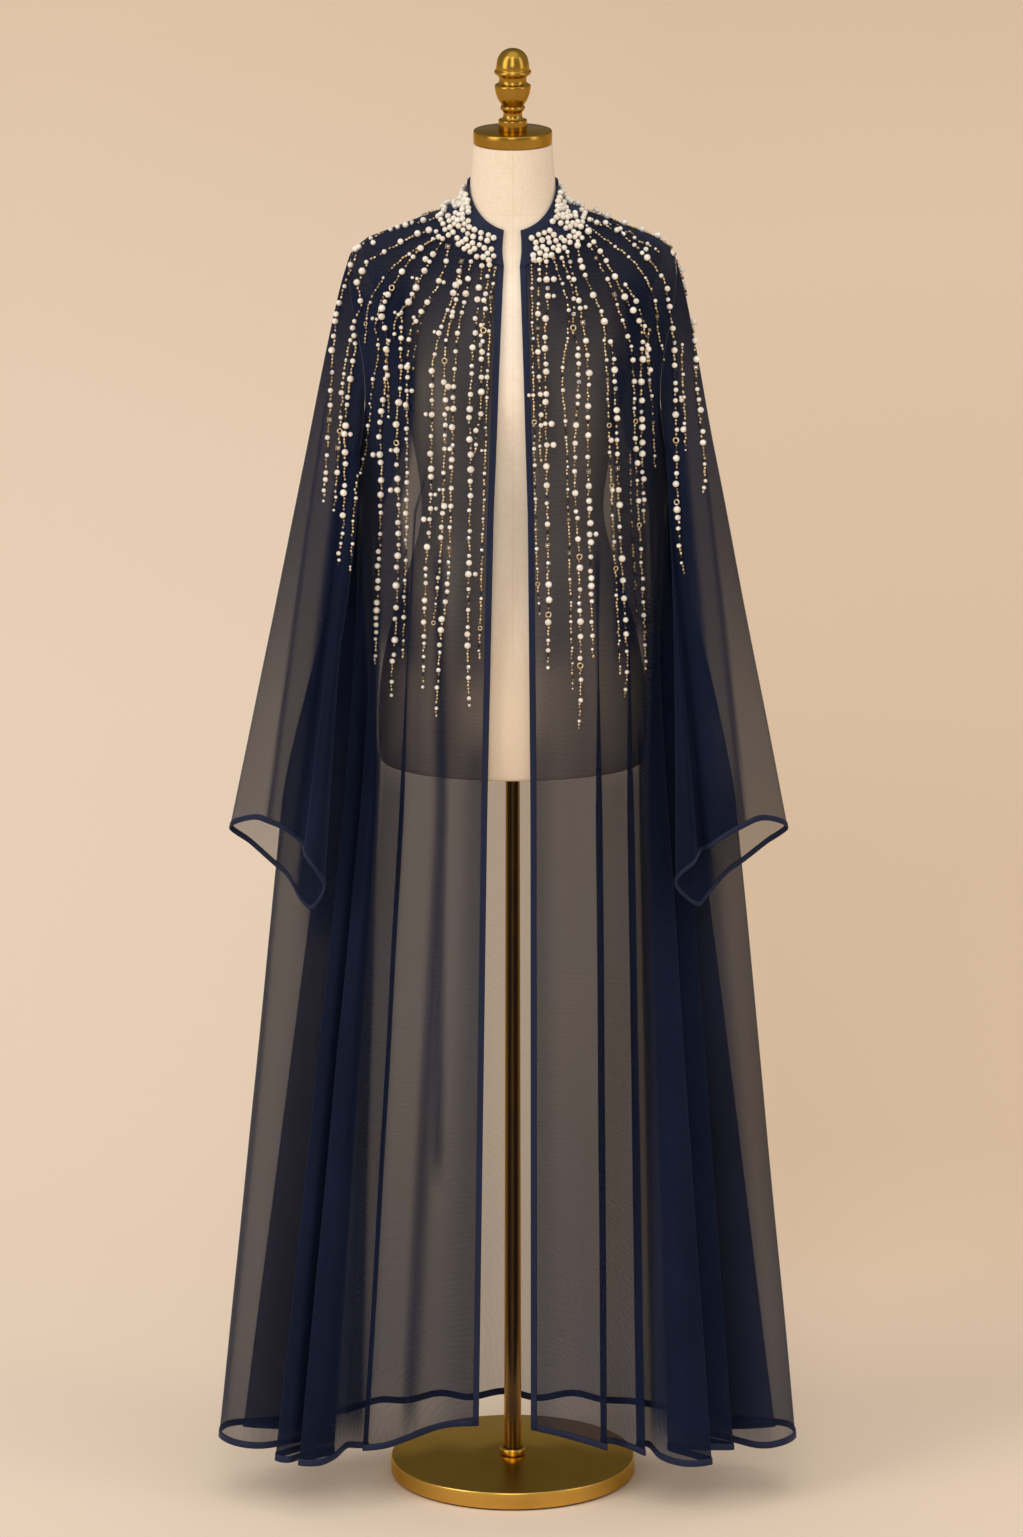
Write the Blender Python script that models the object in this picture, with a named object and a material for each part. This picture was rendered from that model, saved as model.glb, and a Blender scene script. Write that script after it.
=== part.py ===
"""An open-fronted abaya with bell sleeves and a pearled band collar, worn by a dress form.

Metres, +Z up, the front faces -Y. The origin is the middle of the stand's underside.
Right and left are the wearer's, so the right front lies at -X.
"""
import math
from collections import namedtuple

import bmesh
import bpy
from mathutils import Vector

# Cloth
clothWall = 0.0015
bindingWall = 0.0023
collarWall = 0.0020
bindingWidth = 0.0070
seamGap = 0.0004
neckGap = 0.0008
hemGap = 0.0008
cuffGap = 0.0015
samplesPerFold = 2
sharpestFactor = 1.6
collarSteps = 38

# Rows of the collar from its plain top strip down through three rows of pearls
collarShares = [1.0, 0.80, 0.535, 0.27, 0.0]

# Heights of the garment's main levels
chestLevel = 1.165
hipLevel = 0.800
hemLevel = 0.067

# How steeply the fold lines spread at the hip and at the hem, 1 being a straight line
hipFlare = 0.60
hemFlare = 1.35

# Heights of the neckline and the collar
neckFrontHeight = 1.443
neckSideHeight = 1.4916
collarFrontHeight = 1.481
collarSideHeight = 1.527

# Neckline and armhole
neckHalfWidth = 0.081
collarHalfWidth = 0.0500
collarOpeningTurn = 4.3
neckRise = 0.8
shoulderShare = 0.139
armholeDepth = 0.30
armholeGap = 0.0020
armholeApex = 0.8
insideAngle = 84.0
sleevePuff = 0.0030
sleeveLength = 0.62
sleeveFall = 1.2
bowPeak = 0.45
sleeveForward = 1.5

# Raised pearls of the collar
pearlInset = 0.0024
pearlHeight = 0.0026

# Stand
padRadius = 0.138
padThickness = 0.0017
discRadius = 0.141
discBottom = 0.0020
discTop = 0.0220
poleFootRadius = 0.0100
poleTopRadius = 0.0080
ringRadius = 0.0150
ringHeight = 0.0085
torsoBottom = 0.855
torsoTop = 1.5688
capRadius = 0.0442
capHeight = 0.0150
pieceGap = 0.0003
turnSteps = 20
discSteps = 40
capSteps = 28
torsoSteps = 24

# Half width, front depth and back depth of the torso at each height
Section = namedtuple("Section", "z width front back")
torsoSections = [
    Section(0.8550, 0.1503, 0.0984, 0.1075),
    Section(0.9000, 0.1530, 0.1020, 0.1120),
    Section(0.9600, 0.1490, 0.1010, 0.1110),
    Section(1.0200, 0.1370, 0.0950, 0.1010),
    Section(1.0900, 0.1150, 0.0840, 0.0860),
    Section(1.1450, 0.1030, 0.0790, 0.0770),
    Section(1.2000, 0.1080, 0.0860, 0.0790),
    Section(1.2600, 0.1210, 0.0980, 0.0850),
    Section(1.3000, 0.1300, 0.1030, 0.0900),
    Section(1.3500, 0.1410, 0.0995, 0.0925),
    Section(1.4000, 0.1550, 0.0885, 0.0880),
    Section(1.4250, 0.1640, 0.0785, 0.0800),
    Section(1.4400, 0.1670, 0.0710, 0.0730),
    Section(1.4500, 0.1660, 0.0670, 0.0690),
    Section(1.4580, 0.1600, 0.0635, 0.0655),
    Section(1.4680, 0.1360, 0.0600, 0.0620),
    Section(1.4760, 0.1150, 0.0575, 0.0600),
    Section(1.4835, 0.0950, 0.0555, 0.0580),
    Section(1.4895, 0.0785, 0.0540, 0.0565),
    Section(1.4965, 0.0600, 0.0525, 0.0545),
    Section(1.5050, 0.0530, 0.0510, 0.0525),
    Section(1.5200, 0.0485, 0.0490, 0.0495),
    Section(1.5688, 0.0440, 0.0440, 0.0440),
]

# The same of the garment from the underarm up, at the middle of its wall
garmentSections = [
    Section(1.1650, 0.1760, 0.1085, 0.1000),
    Section(1.2300, 0.1800, 0.1085, 0.0970),
    Section(1.3000, 0.1860, 0.1080, 0.0970),
    Section(1.3500, 0.1880, 0.1045, 0.0970),
    Section(1.4000, 0.1870, 0.0925, 0.0920),
    Section(1.4300, 0.1840, 0.0800, 0.0815),
    Section(1.4460, 0.1790, 0.0720, 0.0740),
    Section(1.4530, 0.1740, 0.0690, 0.0710),
    Section(1.4600, 0.1640, 0.0660, 0.0680),
    Section(1.4695, 0.1400, 0.0625, 0.0645),
    Section(1.4775, 0.1185, 0.0600, 0.0625),
    Section(1.4850, 0.0985, 0.0582, 0.0605),
    Section(1.4916, 0.0810, 0.0570, 0.0590),
    Section(1.4970, 0.0650, 0.0552, 0.0572),
    Section(1.5050, 0.0565, 0.0536, 0.0552),
    Section(1.5200, 0.0512, 0.0516, 0.0521),
    Section(1.5300, 0.0500, 0.0506, 0.0511),
]

# Fold lines run from the chest to the hem. "chest" is the angle in degrees from the
# middle of the front or back, where a fold line leaves the chest; the rest is
# in millimetres, with the hem's height over the floor last.
Fold = namedtuple("Fold", "place chest hipX hipY hemX hemY hem")
rightFrontFolds = [
    Fold("front edge", 7.0, -29, -113, -39, -95, 88),
    Fold("flat of the front", 20.0, -55, -111, -81, -98, 86),
    Fold("soft crease", 28.5, -82, -104, -121, -122, 79),
    Fold("before the pleat", 35.5, -106, -95, -146, -134, 74),
    Fold("pleat edge", 38.0, -129, -85, -171, -134, 71),
    Fold("pleat inside", 41.0, -124, -79, -166, -126, 71),
    Fold("pleat end", 44.5, -137, -72, -180, -121, 70),
    Fold("valley", 48.0, -149, -64, -191, -120, 69),
    Fold("inner fold start", 52.0, -157, -63, -204, -148, 66),
    Fold("inner fold crest", 55.5, -164, -67, -222, -166, 64),
    Fold("inner fold edge", 59.0, -174, -61, -245, -163, 64),
    Fold("inner fold return", 62.0, -166, -51, -224, -146, 66),
    Fold("inner fold root", 65.0, -156, -46, -205, -135, 68),
    Fold("outer fold start", 68.0, -170, -41, -230, -133, 66),
    Fold("outer fold crest", 71.0, -182, -46, -256, -155, 64),
    Fold("outer fold edge", 73.5, -193, -42, -272, -142, 64),
    Fold("outer fold return", 76.0, -180, -33, -242, -118, 66),
    Fold("outer fold root", 78.5, -163, -29, -206, -103, 74),
    Fold("lobe start", 81.0, -182, -21, -238, -96, 70),
    Fold("lobe front", 83.5, -216, -24, -286, -114, 67),
    Fold("lobe crest", 85.4, -246, -21, -319, -104, 67),
    Fold("side edge", 87.0, -263, -8, -338, -73, 67),
    Fold("side turn", 88.6, -258, 1, -333, -42, 67),
    Fold("side seam", 90.0, -244, 6, -316, -27, 66),
]
leftFrontFolds = [
    Fold("front edge", 5.5, 20, -113, 21, -97, 84),
    Fold("flat of the front", 18.5, 50, -111, 59, -110, 79),
    Fold("before the pleat", 27.0, 76, -107, 91, -127, 75),
    Fold("pleat edge", 31.0, 101, -106, 108, -138, 73),
    Fold("pleat inside", 34.5, 94, -91, 101, -120, 73),
    Fold("pleat end", 38.0, 107, -86, 114, -112, 72),
    Fold("middle of the front", 42.0, 120, -84, 132, -125, 71),
    Fold("band edge", 46.0, 138, -87, 152, -143, 68),
    Fold("band inside", 49.0, 130, -68, 142, -120, 68),
    Fold("band end", 52.0, 142, -60, 156, -112, 68),
    Fold("large fold start", 55.5, 150, -66, 170, -150, 66),
    Fold("large fold crest", 59.5, 162, -68, 198, -172, 65),
    Fold("large fold edge", 63.0, 177, -58, 228, -163, 65),
    Fold("large fold return", 66.0, 167, -46, 205, -146, 67),
    Fold("large fold root", 69.0, 155, -40, 178, -130, 71),
    Fold("small fold start", 72.0, 172, -36, 214, -122, 68),
    Fold("small fold edge", 74.5, 199, -38, 254, -115, 66),
    Fold("small fold return", 77.0, 182, -29, 226, -101, 68),
    Fold("small fold root", 79.5, 164, -24, 197, -88, 73),
    Fold("lobe start", 82.0, 183, -18, 232, -82, 70),
    Fold("lobe front", 84.2, 216, -21, 280, -112, 67),
    Fold("lobe crest", 85.6, 241, -17, 309, -104, 67),
    Fold("side edge", 87.0, 255, -5, 326, -72, 66),
    Fold("side turn", 88.6, 250, 2, 321, -42, 67),
    Fold("side seam", 90.0, 236, 6, 304, -27, 66),
]
backFolds = [
    Fold("right side seam", -90.0, -244, 6, -316, -27, 66),
    Fold("right lobe back", -87.0, -218, 10, -286, -21, 64),
    Fold("right lobe root", -84.0, -185, 12, -246, -20, 59),
    Fold("right second start", -81.0, -198, 19, -276, -6, 54),
    Fold("right second edge", -78.0, -215, 26, -313, 6, 53),
    Fold("right second back", -75.0, -196, 34, -284, 24, 51),
    Fold("right hollow", -70.0, -168, 42, -222, 36, 54),
    Fold("right hip", -62.0, -148, 66, -186, 56, 55),
    Fold("flute 1", -53.0, -128, 88, -156, 82, 56),
    Fold("flute 2", -42.0, -98, 102, -122, 84, 55),
    Fold("flute 3", -30.0, -68, 116, -86, 116, 53),
    Fold("flute 4", -18.0, -42, 117, -50, 101, 53),
    Fold("flute 5", -4.0, -10, 125, -10, 132, 50),
    Fold("flute 6", 11.0, 26, 119, 30, 107, 50),
    Fold("flute 7", 26.0, 62, 117, 70, 122, 51),
    Fold("flute 8", 38.0, 88, 103, 106, 92, 53),
    Fold("flute 9", 50.0, 116, 94, 142, 82, 54),
    Fold("left hip", 62.0, 148, 66, 182, 56, 55),
    Fold("left hollow", 70.0, 168, 42, 216, 36, 54),
    Fold("left second back", 75.0, 193, 34, 276, 24, 51),
    Fold("left second edge", 78.0, 211, 26, 305, 6, 53),
    Fold("left second start", 81.0, 195, 19, 268, -6, 54),
    Fold("left lobe root", 84.0, 184, 12, 240, -20, 59),
    Fold("left lobe back", 87.0, 212, 10, 276, -21, 64),
    Fold("left side seam", 90.0, 236, 6, 304, -27, 66),
]

# Rows of the body: 0 to 1 from the neck to the chest, 1 to 2 to the hip, 2 to 3 to the hem
bodyRows = [
    0.0, 0.03, 0.07, 0.105, shoulderShare, 0.30, 0.52, 0.76,
    1.0, 1.3, 1.65, 2.0, 2.35, 2.7, 3.0,
]
armholeRows = [row for row in bodyRows if shoulderShare <= row <= 1.0]

# Fold lines of a sleeve run from the armhole to the cuff. "part" is the share of the
# armhole from the shoulder point (0) down the front to the underarm (0.5) and up the
# back; "bow" is how far the line swings out sideways; the rest is the cuff, in mm.
SleeveFold = namedtuple("SleeveFold", "place part bow cuffX cuffY cuffZ")
rightSleeveFolds = [
    SleeveFold("outer edge", 0.0, 4, -320, -98, 801),
    SleeveFold("front 1", 0.08, 3, -293, -124, 818),
    SleeveFold("front 2", 0.14, 2, -274, -132, 815),
    SleeveFold("front 3", 0.19, 0, -256, -131, 806),
    SleeveFold("valley", 0.23, 0, -238, -126, 789),
    SleeveFold("fold edge", 0.27, 0, -234, -141, 780),
    SleeveFold("fold crest", 0.31, 0, -225, -150, 768),
    SleeveFold("fold inner", 0.35, 4, -215, -140, 751),
    SleeveFold("inner edge", 0.40, 10, -213, -120, 733),
    SleeveFold("underside", 0.50, 12, -227, -104, 708),
    SleeveFold("back 1", 0.60, 16, -240, -97, 715),
    SleeveFold("back 2", 0.70, 10, -255, -90, 741),
    SleeveFold("back 3", 0.80, 6, -273, -84, 756),
    SleeveFold("back 4", 0.90, 8, -298, -84, 779),
]
leftSleeveFolds = [
    SleeveFold("outer edge", 0.0, 2, 311, -98, 801),
    SleeveFold("front 1", 0.08, 2, 283, -123, 817),
    SleeveFold("front 2", 0.14, 2, 258, -131, 809),
    SleeveFold("front 3", 0.19, 0, 237, -132, 797),
    SleeveFold("front 4", 0.235, 0, 223, -127, 786),
    SleeveFold("valley", 0.275, 0, 212, -119, 779),
    SleeveFold("fold crest", 0.32, 0, 203, -138, 768),
    SleeveFold("fold inner", 0.36, 4, 188, -134, 754),
    SleeveFold("inner edge", 0.40, 10, 185, -117, 736),
    SleeveFold("underside", 0.50, 12, 209, -102, 711),
    SleeveFold("back 1", 0.60, 16, 223, -96, 724),
    SleeveFold("back 2", 0.70, 10, 243, -89, 745),
    SleeveFold("back 3", 0.80, 6, 261, -84, 757),
    SleeveFold("back 4", 0.90, 8, 287, -84, 778),
]
sleeveRows = [0.0, 0.04, 0.09, 0.16, 0.26, 0.40, 0.57, 0.76, 0.94, 1.0]

# Turned profiles, radius and height over the piece's foot
finialProfile = [
    (0.0158, 0.0000), (0.0158, 0.0116), (0.0106, 0.0165), (0.0106, 0.0200),
    (0.0134, 0.0236), (0.0137, 0.0258), (0.0123, 0.0277), (0.0165, 0.0341),
    (0.0202, 0.0467), (0.0202, 0.0506), (0.0159, 0.0534), (0.0155, 0.0590),
    (0.0206, 0.0642), (0.0206, 0.0672), (0.0185, 0.0692), (0.0179, 0.0761),
    (0.0164, 0.0817), (0.0124, 0.0872), (0.0068, 0.0916),
]


def clearScene():
    for item in list(bpy.data.objects):
        bpy.data.objects.remove(item, do_unlink=True)


def makeMaterial(name, colour, roughness, metallic, alpha=1.0):
    material = bpy.data.materials.new(name)
    material.use_nodes = True
    shader = material.node_tree.nodes["Principled BSDF"]
    shader.inputs["Base Color"].default_value = (*colour, 1.0)
    shader.inputs["Roughness"].default_value = roughness
    shader.inputs["Metallic"].default_value = metallic
    shader.inputs["Alpha"].default_value = alpha
    return material


def makeObject(name, bm, material, smoothAngle=35.0):
    mesh = bpy.data.meshes.new(name)
    bm.to_mesh(mesh)
    bm.free()
    mesh.shade_smooth()
    mesh.set_sharp_from_angle(angle=math.radians(smoothAngle))
    mesh.materials.append(material)
    item = bpy.data.objects.new(name, mesh)
    bpy.context.scene.collection.objects.link(item)
    return item


def sectionAt(sections, z):
    """Width, front and back at a height, read smoothly between the table's rows."""
    z = min(max(z, sections[0].z), sections[-1].z)
    index = 0
    while index < len(sections) - 2 and sections[index + 1].z < z:
        index += 1
    low = sections[index]
    high = sections[index + 1]
    span = high.z - low.z
    share = (z - low.z) / span
    values = []
    for name in ("width", "front", "back"):
        start = getattr(low, name)
        end = getattr(high, name)
        before = sections[max(index - 1, 0)]
        after = sections[min(index + 2, len(sections) - 1)]
        startSlope = (end - getattr(before, name)) / (high.z - before.z) * span
        endSlope = (getattr(after, name) - start) / (after.z - low.z) * span
        values.append(hermite(start, end, startSlope, endSlope, share))
    return values


def hermite(start, end, startSlope, endSlope, share):
    square = share * share
    cube = square * share
    value = start * (2 * cube - 3 * square + 1) + startSlope * (cube - 2 * square + share)
    return value + end * (3 * square - 2 * cube) + endSlope * (cube - square)


def catmull(before, start, end, after, share):
    return hermite(start, end, (end - before) * 0.5, (after - start) * 0.5, share)


def smoothLine(points, steps):
    """A smooth line through all but the first and last point, which only steer its ends."""
    line = []
    for index in range(1, len(points) - 2):
        for step in range(steps):
            line.append(catmull(*points[index - 1:index + 3], step / steps))
    line.append(points[-2].copy())
    return line


def smoothLoop(points, steps):
    """The same through a closed loop of points."""
    count = len(points)
    loop = []
    for index in range(count):
        around = [points[(index + shift) % count] for shift in (-1, 0, 1, 2)]
        for step in range(steps):
            loop.append(catmull(*around, step / steps))
    return loop


def onGarment(ratio, z, isBack):
    """The point of the garment's form at a height, ratio being x over the half width."""
    width, front, back = sectionAt(garmentSections, z)
    depth = math.sqrt(max(0.0, 1.0 - ratio * ratio))
    y = back * depth if isBack else -front * depth
    return Vector((ratio * width, y, z))


def neckEdge(angle, isBack):
    """Ratio and height of the neckline's seam, at an angle from the middle of a panel."""
    if isBack:
        height = neckSideHeight
    else:
        rise = (1 - math.cos(angle)) ** neckRise
        height = neckFrontHeight + (neckSideHeight - neckFrontHeight) * rise
    width = sectionAt(garmentSections, height)[0]
    return neckHalfWidth * math.sin(angle) / width, height


def foldPoint(fold, row, isBack, side):
    """A fold line's point; side is -1 or 1 for a front, and 0 for the back."""
    angle = math.radians(fold.chest)
    lateral = math.sin(angle) * (side or 1)
    if row <= 1.0:
        neckRatio, neckHeight = neckEdge(abs(angle), isBack)
        neckTurn = math.asin(min(neckRatio, 1.0))
        z = neckHeight + (chestLevel - neckHeight) * row
        turn = neckTurn + (abs(angle) - neckTurn) * row
        past = (row - shoulderShare) / (1.0 - shoulderShare)
        if past > 0.0:
            quarter = turn / (math.pi / 2)
            turn *= 1.0 - armholeDepth * math.sin(math.pi * past) * quarter
        return onGarment(math.copysign(math.sin(turn), lateral), z, isBack)
    chest = onGarment(lateral, chestLevel, isBack)
    hip = Vector((fold.hipX, fold.hipY, hipLevel * 1000)) * 0.001
    hem = Vector((fold.hemX, fold.hemY, fold.hem)) * 0.001
    upper = chestLevel - hipLevel
    lower = hipLevel - hem.z
    hipSlope = (hem - hip) * (hipFlare / lower)
    if row <= 2.0:
        return hermite(chest, hip, hip - chest, hipSlope * upper, row - 1.0)
    return hermite(hip, hem, hipSlope * lower, (hem - hip) * hemFlare, row - 2.0)


def bodyLine(folds, row, isBack, side):
    """One row of a front or of the back, steered at the side seams by its neighbours."""
    points = [foldPoint(fold, row, isBack, side) for fold in folds]
    first = points[0]
    last = points[-1]
    if not shoulderShare < row < 1.0:
        if isBack:
            first = foldPoint(rightFrontFolds[-2], row, False, -1)
            last = foldPoint(leftFrontFolds[-2], row, False, 1)
        else:
            last = foldPoint(backFolds[1] if side == -1 else backFolds[-2], row, True, 0)
    return smoothLine([first] + points + [last], samplesPerFold)


def hemShare(width):
    """How much of the lowest row range a strip of the given height takes."""
    return width / (hipLevel - hemLevel)


def trimEnds(line, startCut, endCut):
    """Cuts a length off each end of a line, inside its first and last stretch."""
    if startCut:
        line[0] = line[0] + (line[1] - line[0]).normalized() * startCut
    if endCut:
        line[-1] = line[-1] + (line[-2] - line[-1]).normalized() * endCut
    return line


def buildWall(grid, thickness, material, name, closed=False, flip=False, studs=None):
    """A wall of even thickness over a grid of points, rows from top to bottom."""
    sheet = bmesh.new()
    rows = [[sheet.verts.new(point) for point in row] for row in grid]
    columns = len(rows[0])
    lastColumn = columns if closed else columns - 1
    for upper, lower in zip(rows, rows[1:]):
        for index in range(lastColumn):
            after = (index + 1) % columns
            corners = [upper[index], lower[index], lower[after], upper[after]]
            if flip:
                corners.reverse()
            sheet.faces.new(corners)
    sheet.normal_update()
    offsets = {}
    for vert in sheet.verts:
        factor = min(vert.calc_shell_factor(), sharpestFactor)
        offsets[vert] = vert.normal * thickness * 0.5 * factor
    outerFaces = list(sheet.faces)
    edges = [edge for edge in sheet.edges if edge.is_boundary]
    inner = {}
    for vert, offset in offsets.items():
        inner[vert] = sheet.verts.new(vert.co - offset)
        vert.co += offset
    for face in outerFaces:
        sheet.faces.new([inner[vert] for vert in reversed(face.verts)])
    for edge in edges:
        loop = edge.link_loops[0]
        start = loop.vert
        end = loop.link_loop_next.vert
        sheet.faces.new([end, start, inner[start], inner[end]])
    if studs:
        chosen = [outerFaces[index] for index in studs]
        bmesh.ops.inset_individual(sheet, faces=chosen, thickness=pearlInset, depth=pearlHeight)
    bmesh.ops.triangulate(sheet, faces=sheet.faces[:])
    return makeObject(name, sheet, material)


def buildPanel(name, folds, isFront, side, cloth, binding):
    """A front or the back with its hem binding, and a front's own edge binding."""
    isBack = not isFront
    bindingTop = 3.0 - hemShare(bindingWidth)
    panelEnd = bindingTop - hemShare(hemGap)
    edgeCut = bindingWidth + seamGap if isFront else seamGap
    flip = (side != 1)

    grid = []
    for row in bodyRows[:-1] + [panelEnd]:
        line = bodyLine(folds, row, isBack, side)
        grid.append(trimEnds(line, edgeCut, seamGap))
    grid[0] = lowered(grid[0], grid[1], neckGap)
    buildWall(grid, clothWall, cloth, name, flip=flip)

    hem = []
    for row in (bindingTop, 3.0):
        hem.append(trimEnds(bodyLine(folds, row, isBack, side), edgeCut, seamGap))
    buildWall(hem, bindingWall, binding, name + "_hem", flip=flip)

    if isFront:
        strip = []
        for row in bodyRows:
            edge, following = bodyLine(folds, row, isBack, side)[:2]
            inward = (following - edge).normalized() * bindingWidth
            strip.append([edge, edge + inward])
        strip[0] = lowered(strip[0], strip[1], neckGap)
        buildWall(strip, bindingWall, binding, name + "_binding", flip=flip)


def lowered(line, following, distance):
    """Moves a line of points a little way along to the next row."""
    return [point + (after - point).normalized() * distance for point, after in zip(line, following)]


def armholePoint(part, side, angle=90.0):
    """A point of the armhole's seam, which runs straight between the body's rows."""
    isBack = part > 0.5
    share = (1.0 - part) * 2 if isBack else part * 2
    place = share * (len(armholeRows) - 1)
    index = min(int(place), len(armholeRows) - 2)
    edge = Fold("armhole", angle, 0, 0, 0, 0, 0)
    start = foldPoint(edge, armholeRows[index], isBack, side)
    end = foldPoint(edge, armholeRows[index + 1], isBack, side)
    return start.lerp(end, place - index)


def sleeveRow(folds, share, side):
    """One row round a sleeve, share running from the armhole to the cuff."""
    cuffs = [Vector((fold.cuffX, fold.cuffY, fold.cuffZ, fold.bow)) * 0.001 for fold in folds]
    parts = [fold.part for fold in folds] + [1.0]
    row = []
    for index, cuff in enumerate(smoothLoop(cuffs, samplesPerFold)):
        place, step = divmod(index, samplesPerFold)
        part = parts[place] + (parts[place + 1] - parts[place]) * step / samplesPerFold
        row.append(sleevePoint(cuff, part, share, side))
    return row


def sleevePoint(cuff, part, share, side):
    """A sleeve's point; the cuff's fourth value is how far the line bows out sideways."""
    top = armholePoint(part, side)
    point = top.lerp(cuff.xyz, share ** sleeveFall)
    point.y = top.y + (cuff.y - top.y) * (1.0 - (1.0 - share ** sleeveForward) ** 2)
    early = math.sin(math.pi * share ** bowPeak)
    point.x += side * cuff.w * early
    inside = [armholePoint((part + step) % 1.0, side, insideAngle) for step in (-0.002, 0.002)]
    across = (top - (inside[0] + inside[1]) * 0.5).normalized()
    apex = 1.0 + armholeApex * math.cos(2 * math.pi * part) ** 8
    puff = sleevePuff * early * abs(math.cos(math.pi * part))
    return point + across * (armholeGap * apex * (1.0 - share) + puff)


def buildSleeve(name, folds, side, cloth, binding):
    cuffTop = 1.0 - bindingWidth / sleeveLength
    sleeveEnd = cuffTop - cuffGap / sleeveLength
    flip = (side == 1)
    grid = [sleeveRow(folds, share, side) for share in sleeveRows[:-1] + [sleeveEnd]]
    buildWall(grid, clothWall, cloth, name, closed=True, flip=flip)
    cuff = [sleeveRow(folds, share, side) for share in (cuffTop, 1.0)]
    buildWall(cuff, bindingWall, binding, name + "_cuff", closed=True, flip=flip)


def collarPoint(angle, share):
    """A point of the band collar; angle runs round from the middle of the front."""
    isBack = abs(angle) > math.pi / 2
    turn = math.pi - abs(angle) if isBack else abs(angle)
    ratio, low = neckEdge(turn, isBack)
    topTurn = turn + math.radians(collarOpeningTurn) * math.cos(turn)
    if isBack:
        high = collarSideHeight
        topTurn = turn
    else:
        rise = (1 - math.cos(turn)) ** neckRise
        high = collarFrontHeight + (collarSideHeight - collarFrontHeight) * rise
    topRatio = collarHalfWidth * math.sin(topTurn) / sectionAt(garmentSections, high)[0]
    z = low + (high - low) * share
    mixed = ratio + (min(topRatio, 1.0) - ratio) * share
    return onGarment(math.copysign(mixed, angle), z, isBack)


def buildCollar(material):
    """The band from the right front's edge round the back to the left front's."""
    start = -math.radians(rightFrontFolds[0].chest)
    end = math.radians(leftFrontFolds[0].chest)
    sweep = 2 * math.pi + start - end
    grid = []
    for share in collarShares:
        row = []
        for step in range(collarSteps + 1):
            angle = start - sweep * step / collarSteps
            if angle < -math.pi:
                angle += 2 * math.pi
            row.append(collarPoint(angle, share))
        grid.append(row)
    pearls = range(collarSteps, collarSteps * (len(collarShares) - 1))
    buildWall(grid, collarWall, material, "collar_band", studs=pearls, flip=True)


def turned(profile, foot, steps):
    """A closed solid turned from radius and height pairs, foot first."""
    solid = bmesh.new()
    rings = []
    for radius, height in profile:
        ring = []
        for step in range(steps):
            angle = 2 * math.pi * step / steps
            place = (radius * math.cos(angle), radius * math.sin(angle), foot + height)
            ring.append(solid.verts.new(place))
        rings.append(ring)
    for lower, upper in zip(rings, rings[1:]):
        for step in range(steps):
            after = (step + 1) % steps
            solid.faces.new([lower[step], lower[after], upper[after], upper[step]])
    solid.faces.new(list(reversed(rings[0])))
    solid.faces.new(rings[-1])
    return solid


def buildTorso(material):
    solid = bmesh.new()
    rings = []
    for section in torsoSections:
        ring = []
        for step in range(torsoSteps):
            angle = 2 * math.pi * step / torsoSteps
            y = math.sin(angle)
            depth = section.back if y > 0 else section.front
            ring.append(solid.verts.new((section.width * math.cos(angle), depth * y, section.z)))
        rings.append(ring)
    for lower, upper in zip(rings, rings[1:]):
        for step in range(torsoSteps):
            after = (step + 1) % torsoSteps
            solid.faces.new([lower[step], lower[after], upper[after], upper[step]])
    solid.faces.new(list(reversed(rings[0])))
    solid.faces.new(rings[-1])
    makeObject("torso", solid, material, smoothAngle=50.0)


def buildRing(material):
    """The low collar at the pole's foot, open in the middle for the pole."""
    bore = poleFootRadius + pieceGap
    foot = discTop + pieceGap
    profile = [
        (bore, 0.0), (ringRadius - 0.0015, 0.0), (ringRadius, 0.0018),
        (ringRadius, ringHeight - 0.0025), (ringRadius - 0.0020, ringHeight), (bore, ringHeight),
    ]
    solid = bmesh.new()
    verts = [solid.verts.new((radius, 0.0, foot + height)) for radius, height in profile]
    edges = [solid.edges.new((verts[i], verts[(i + 1) % len(verts)])) for i in range(len(verts))]
    bmesh.ops.spin(solid, geom=verts + edges, cent=(0, 0, 0), axis=(0, 0, 1),
                   angle=2 * math.pi, steps=turnSteps, use_merge=True)
    bmesh.ops.recalc_face_normals(solid, faces=solid.faces[:])
    makeObject("pole_collar", solid, material)


def buildStand(brass, darkBrass, rubber):
    pad = [(padRadius - 0.0008, 0.0), (padRadius, 0.0006), (padRadius, padThickness)]
    makeObject("base_pad", turned(pad, 0.0, discSteps), rubber)

    height = discTop - discBottom
    disc = [
        (discRadius - 0.0010, 0.0), (discRadius, 0.0010), (discRadius, height - 0.0020),
        (discRadius - 0.0006, height - 0.0006), (discRadius - 0.0020, height),
    ]
    makeObject("base_disc", turned(disc, discBottom, discSteps), brass)

    foot = discTop + pieceGap
    pole = [(poleFootRadius, 0.0), (poleTopRadius, torsoBottom - pieceGap - foot)]
    makeObject("pole", turned(pole, foot, turnSteps), darkBrass)
    buildRing(brass)

    capFoot = torsoTop + pieceGap
    cap = [
        (capRadius - 0.0010, 0.0), (capRadius, 0.0010), (capRadius, capHeight - 0.0020),
        (capRadius - 0.0006, capHeight - 0.0006), (capRadius - 0.0020, capHeight),
    ]
    makeObject("neck_cap", turned(cap, capFoot, capSteps), brass)
    makeObject("finial", turned(finialProfile, capFoot + capHeight + pieceGap, turnSteps), brass)


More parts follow.
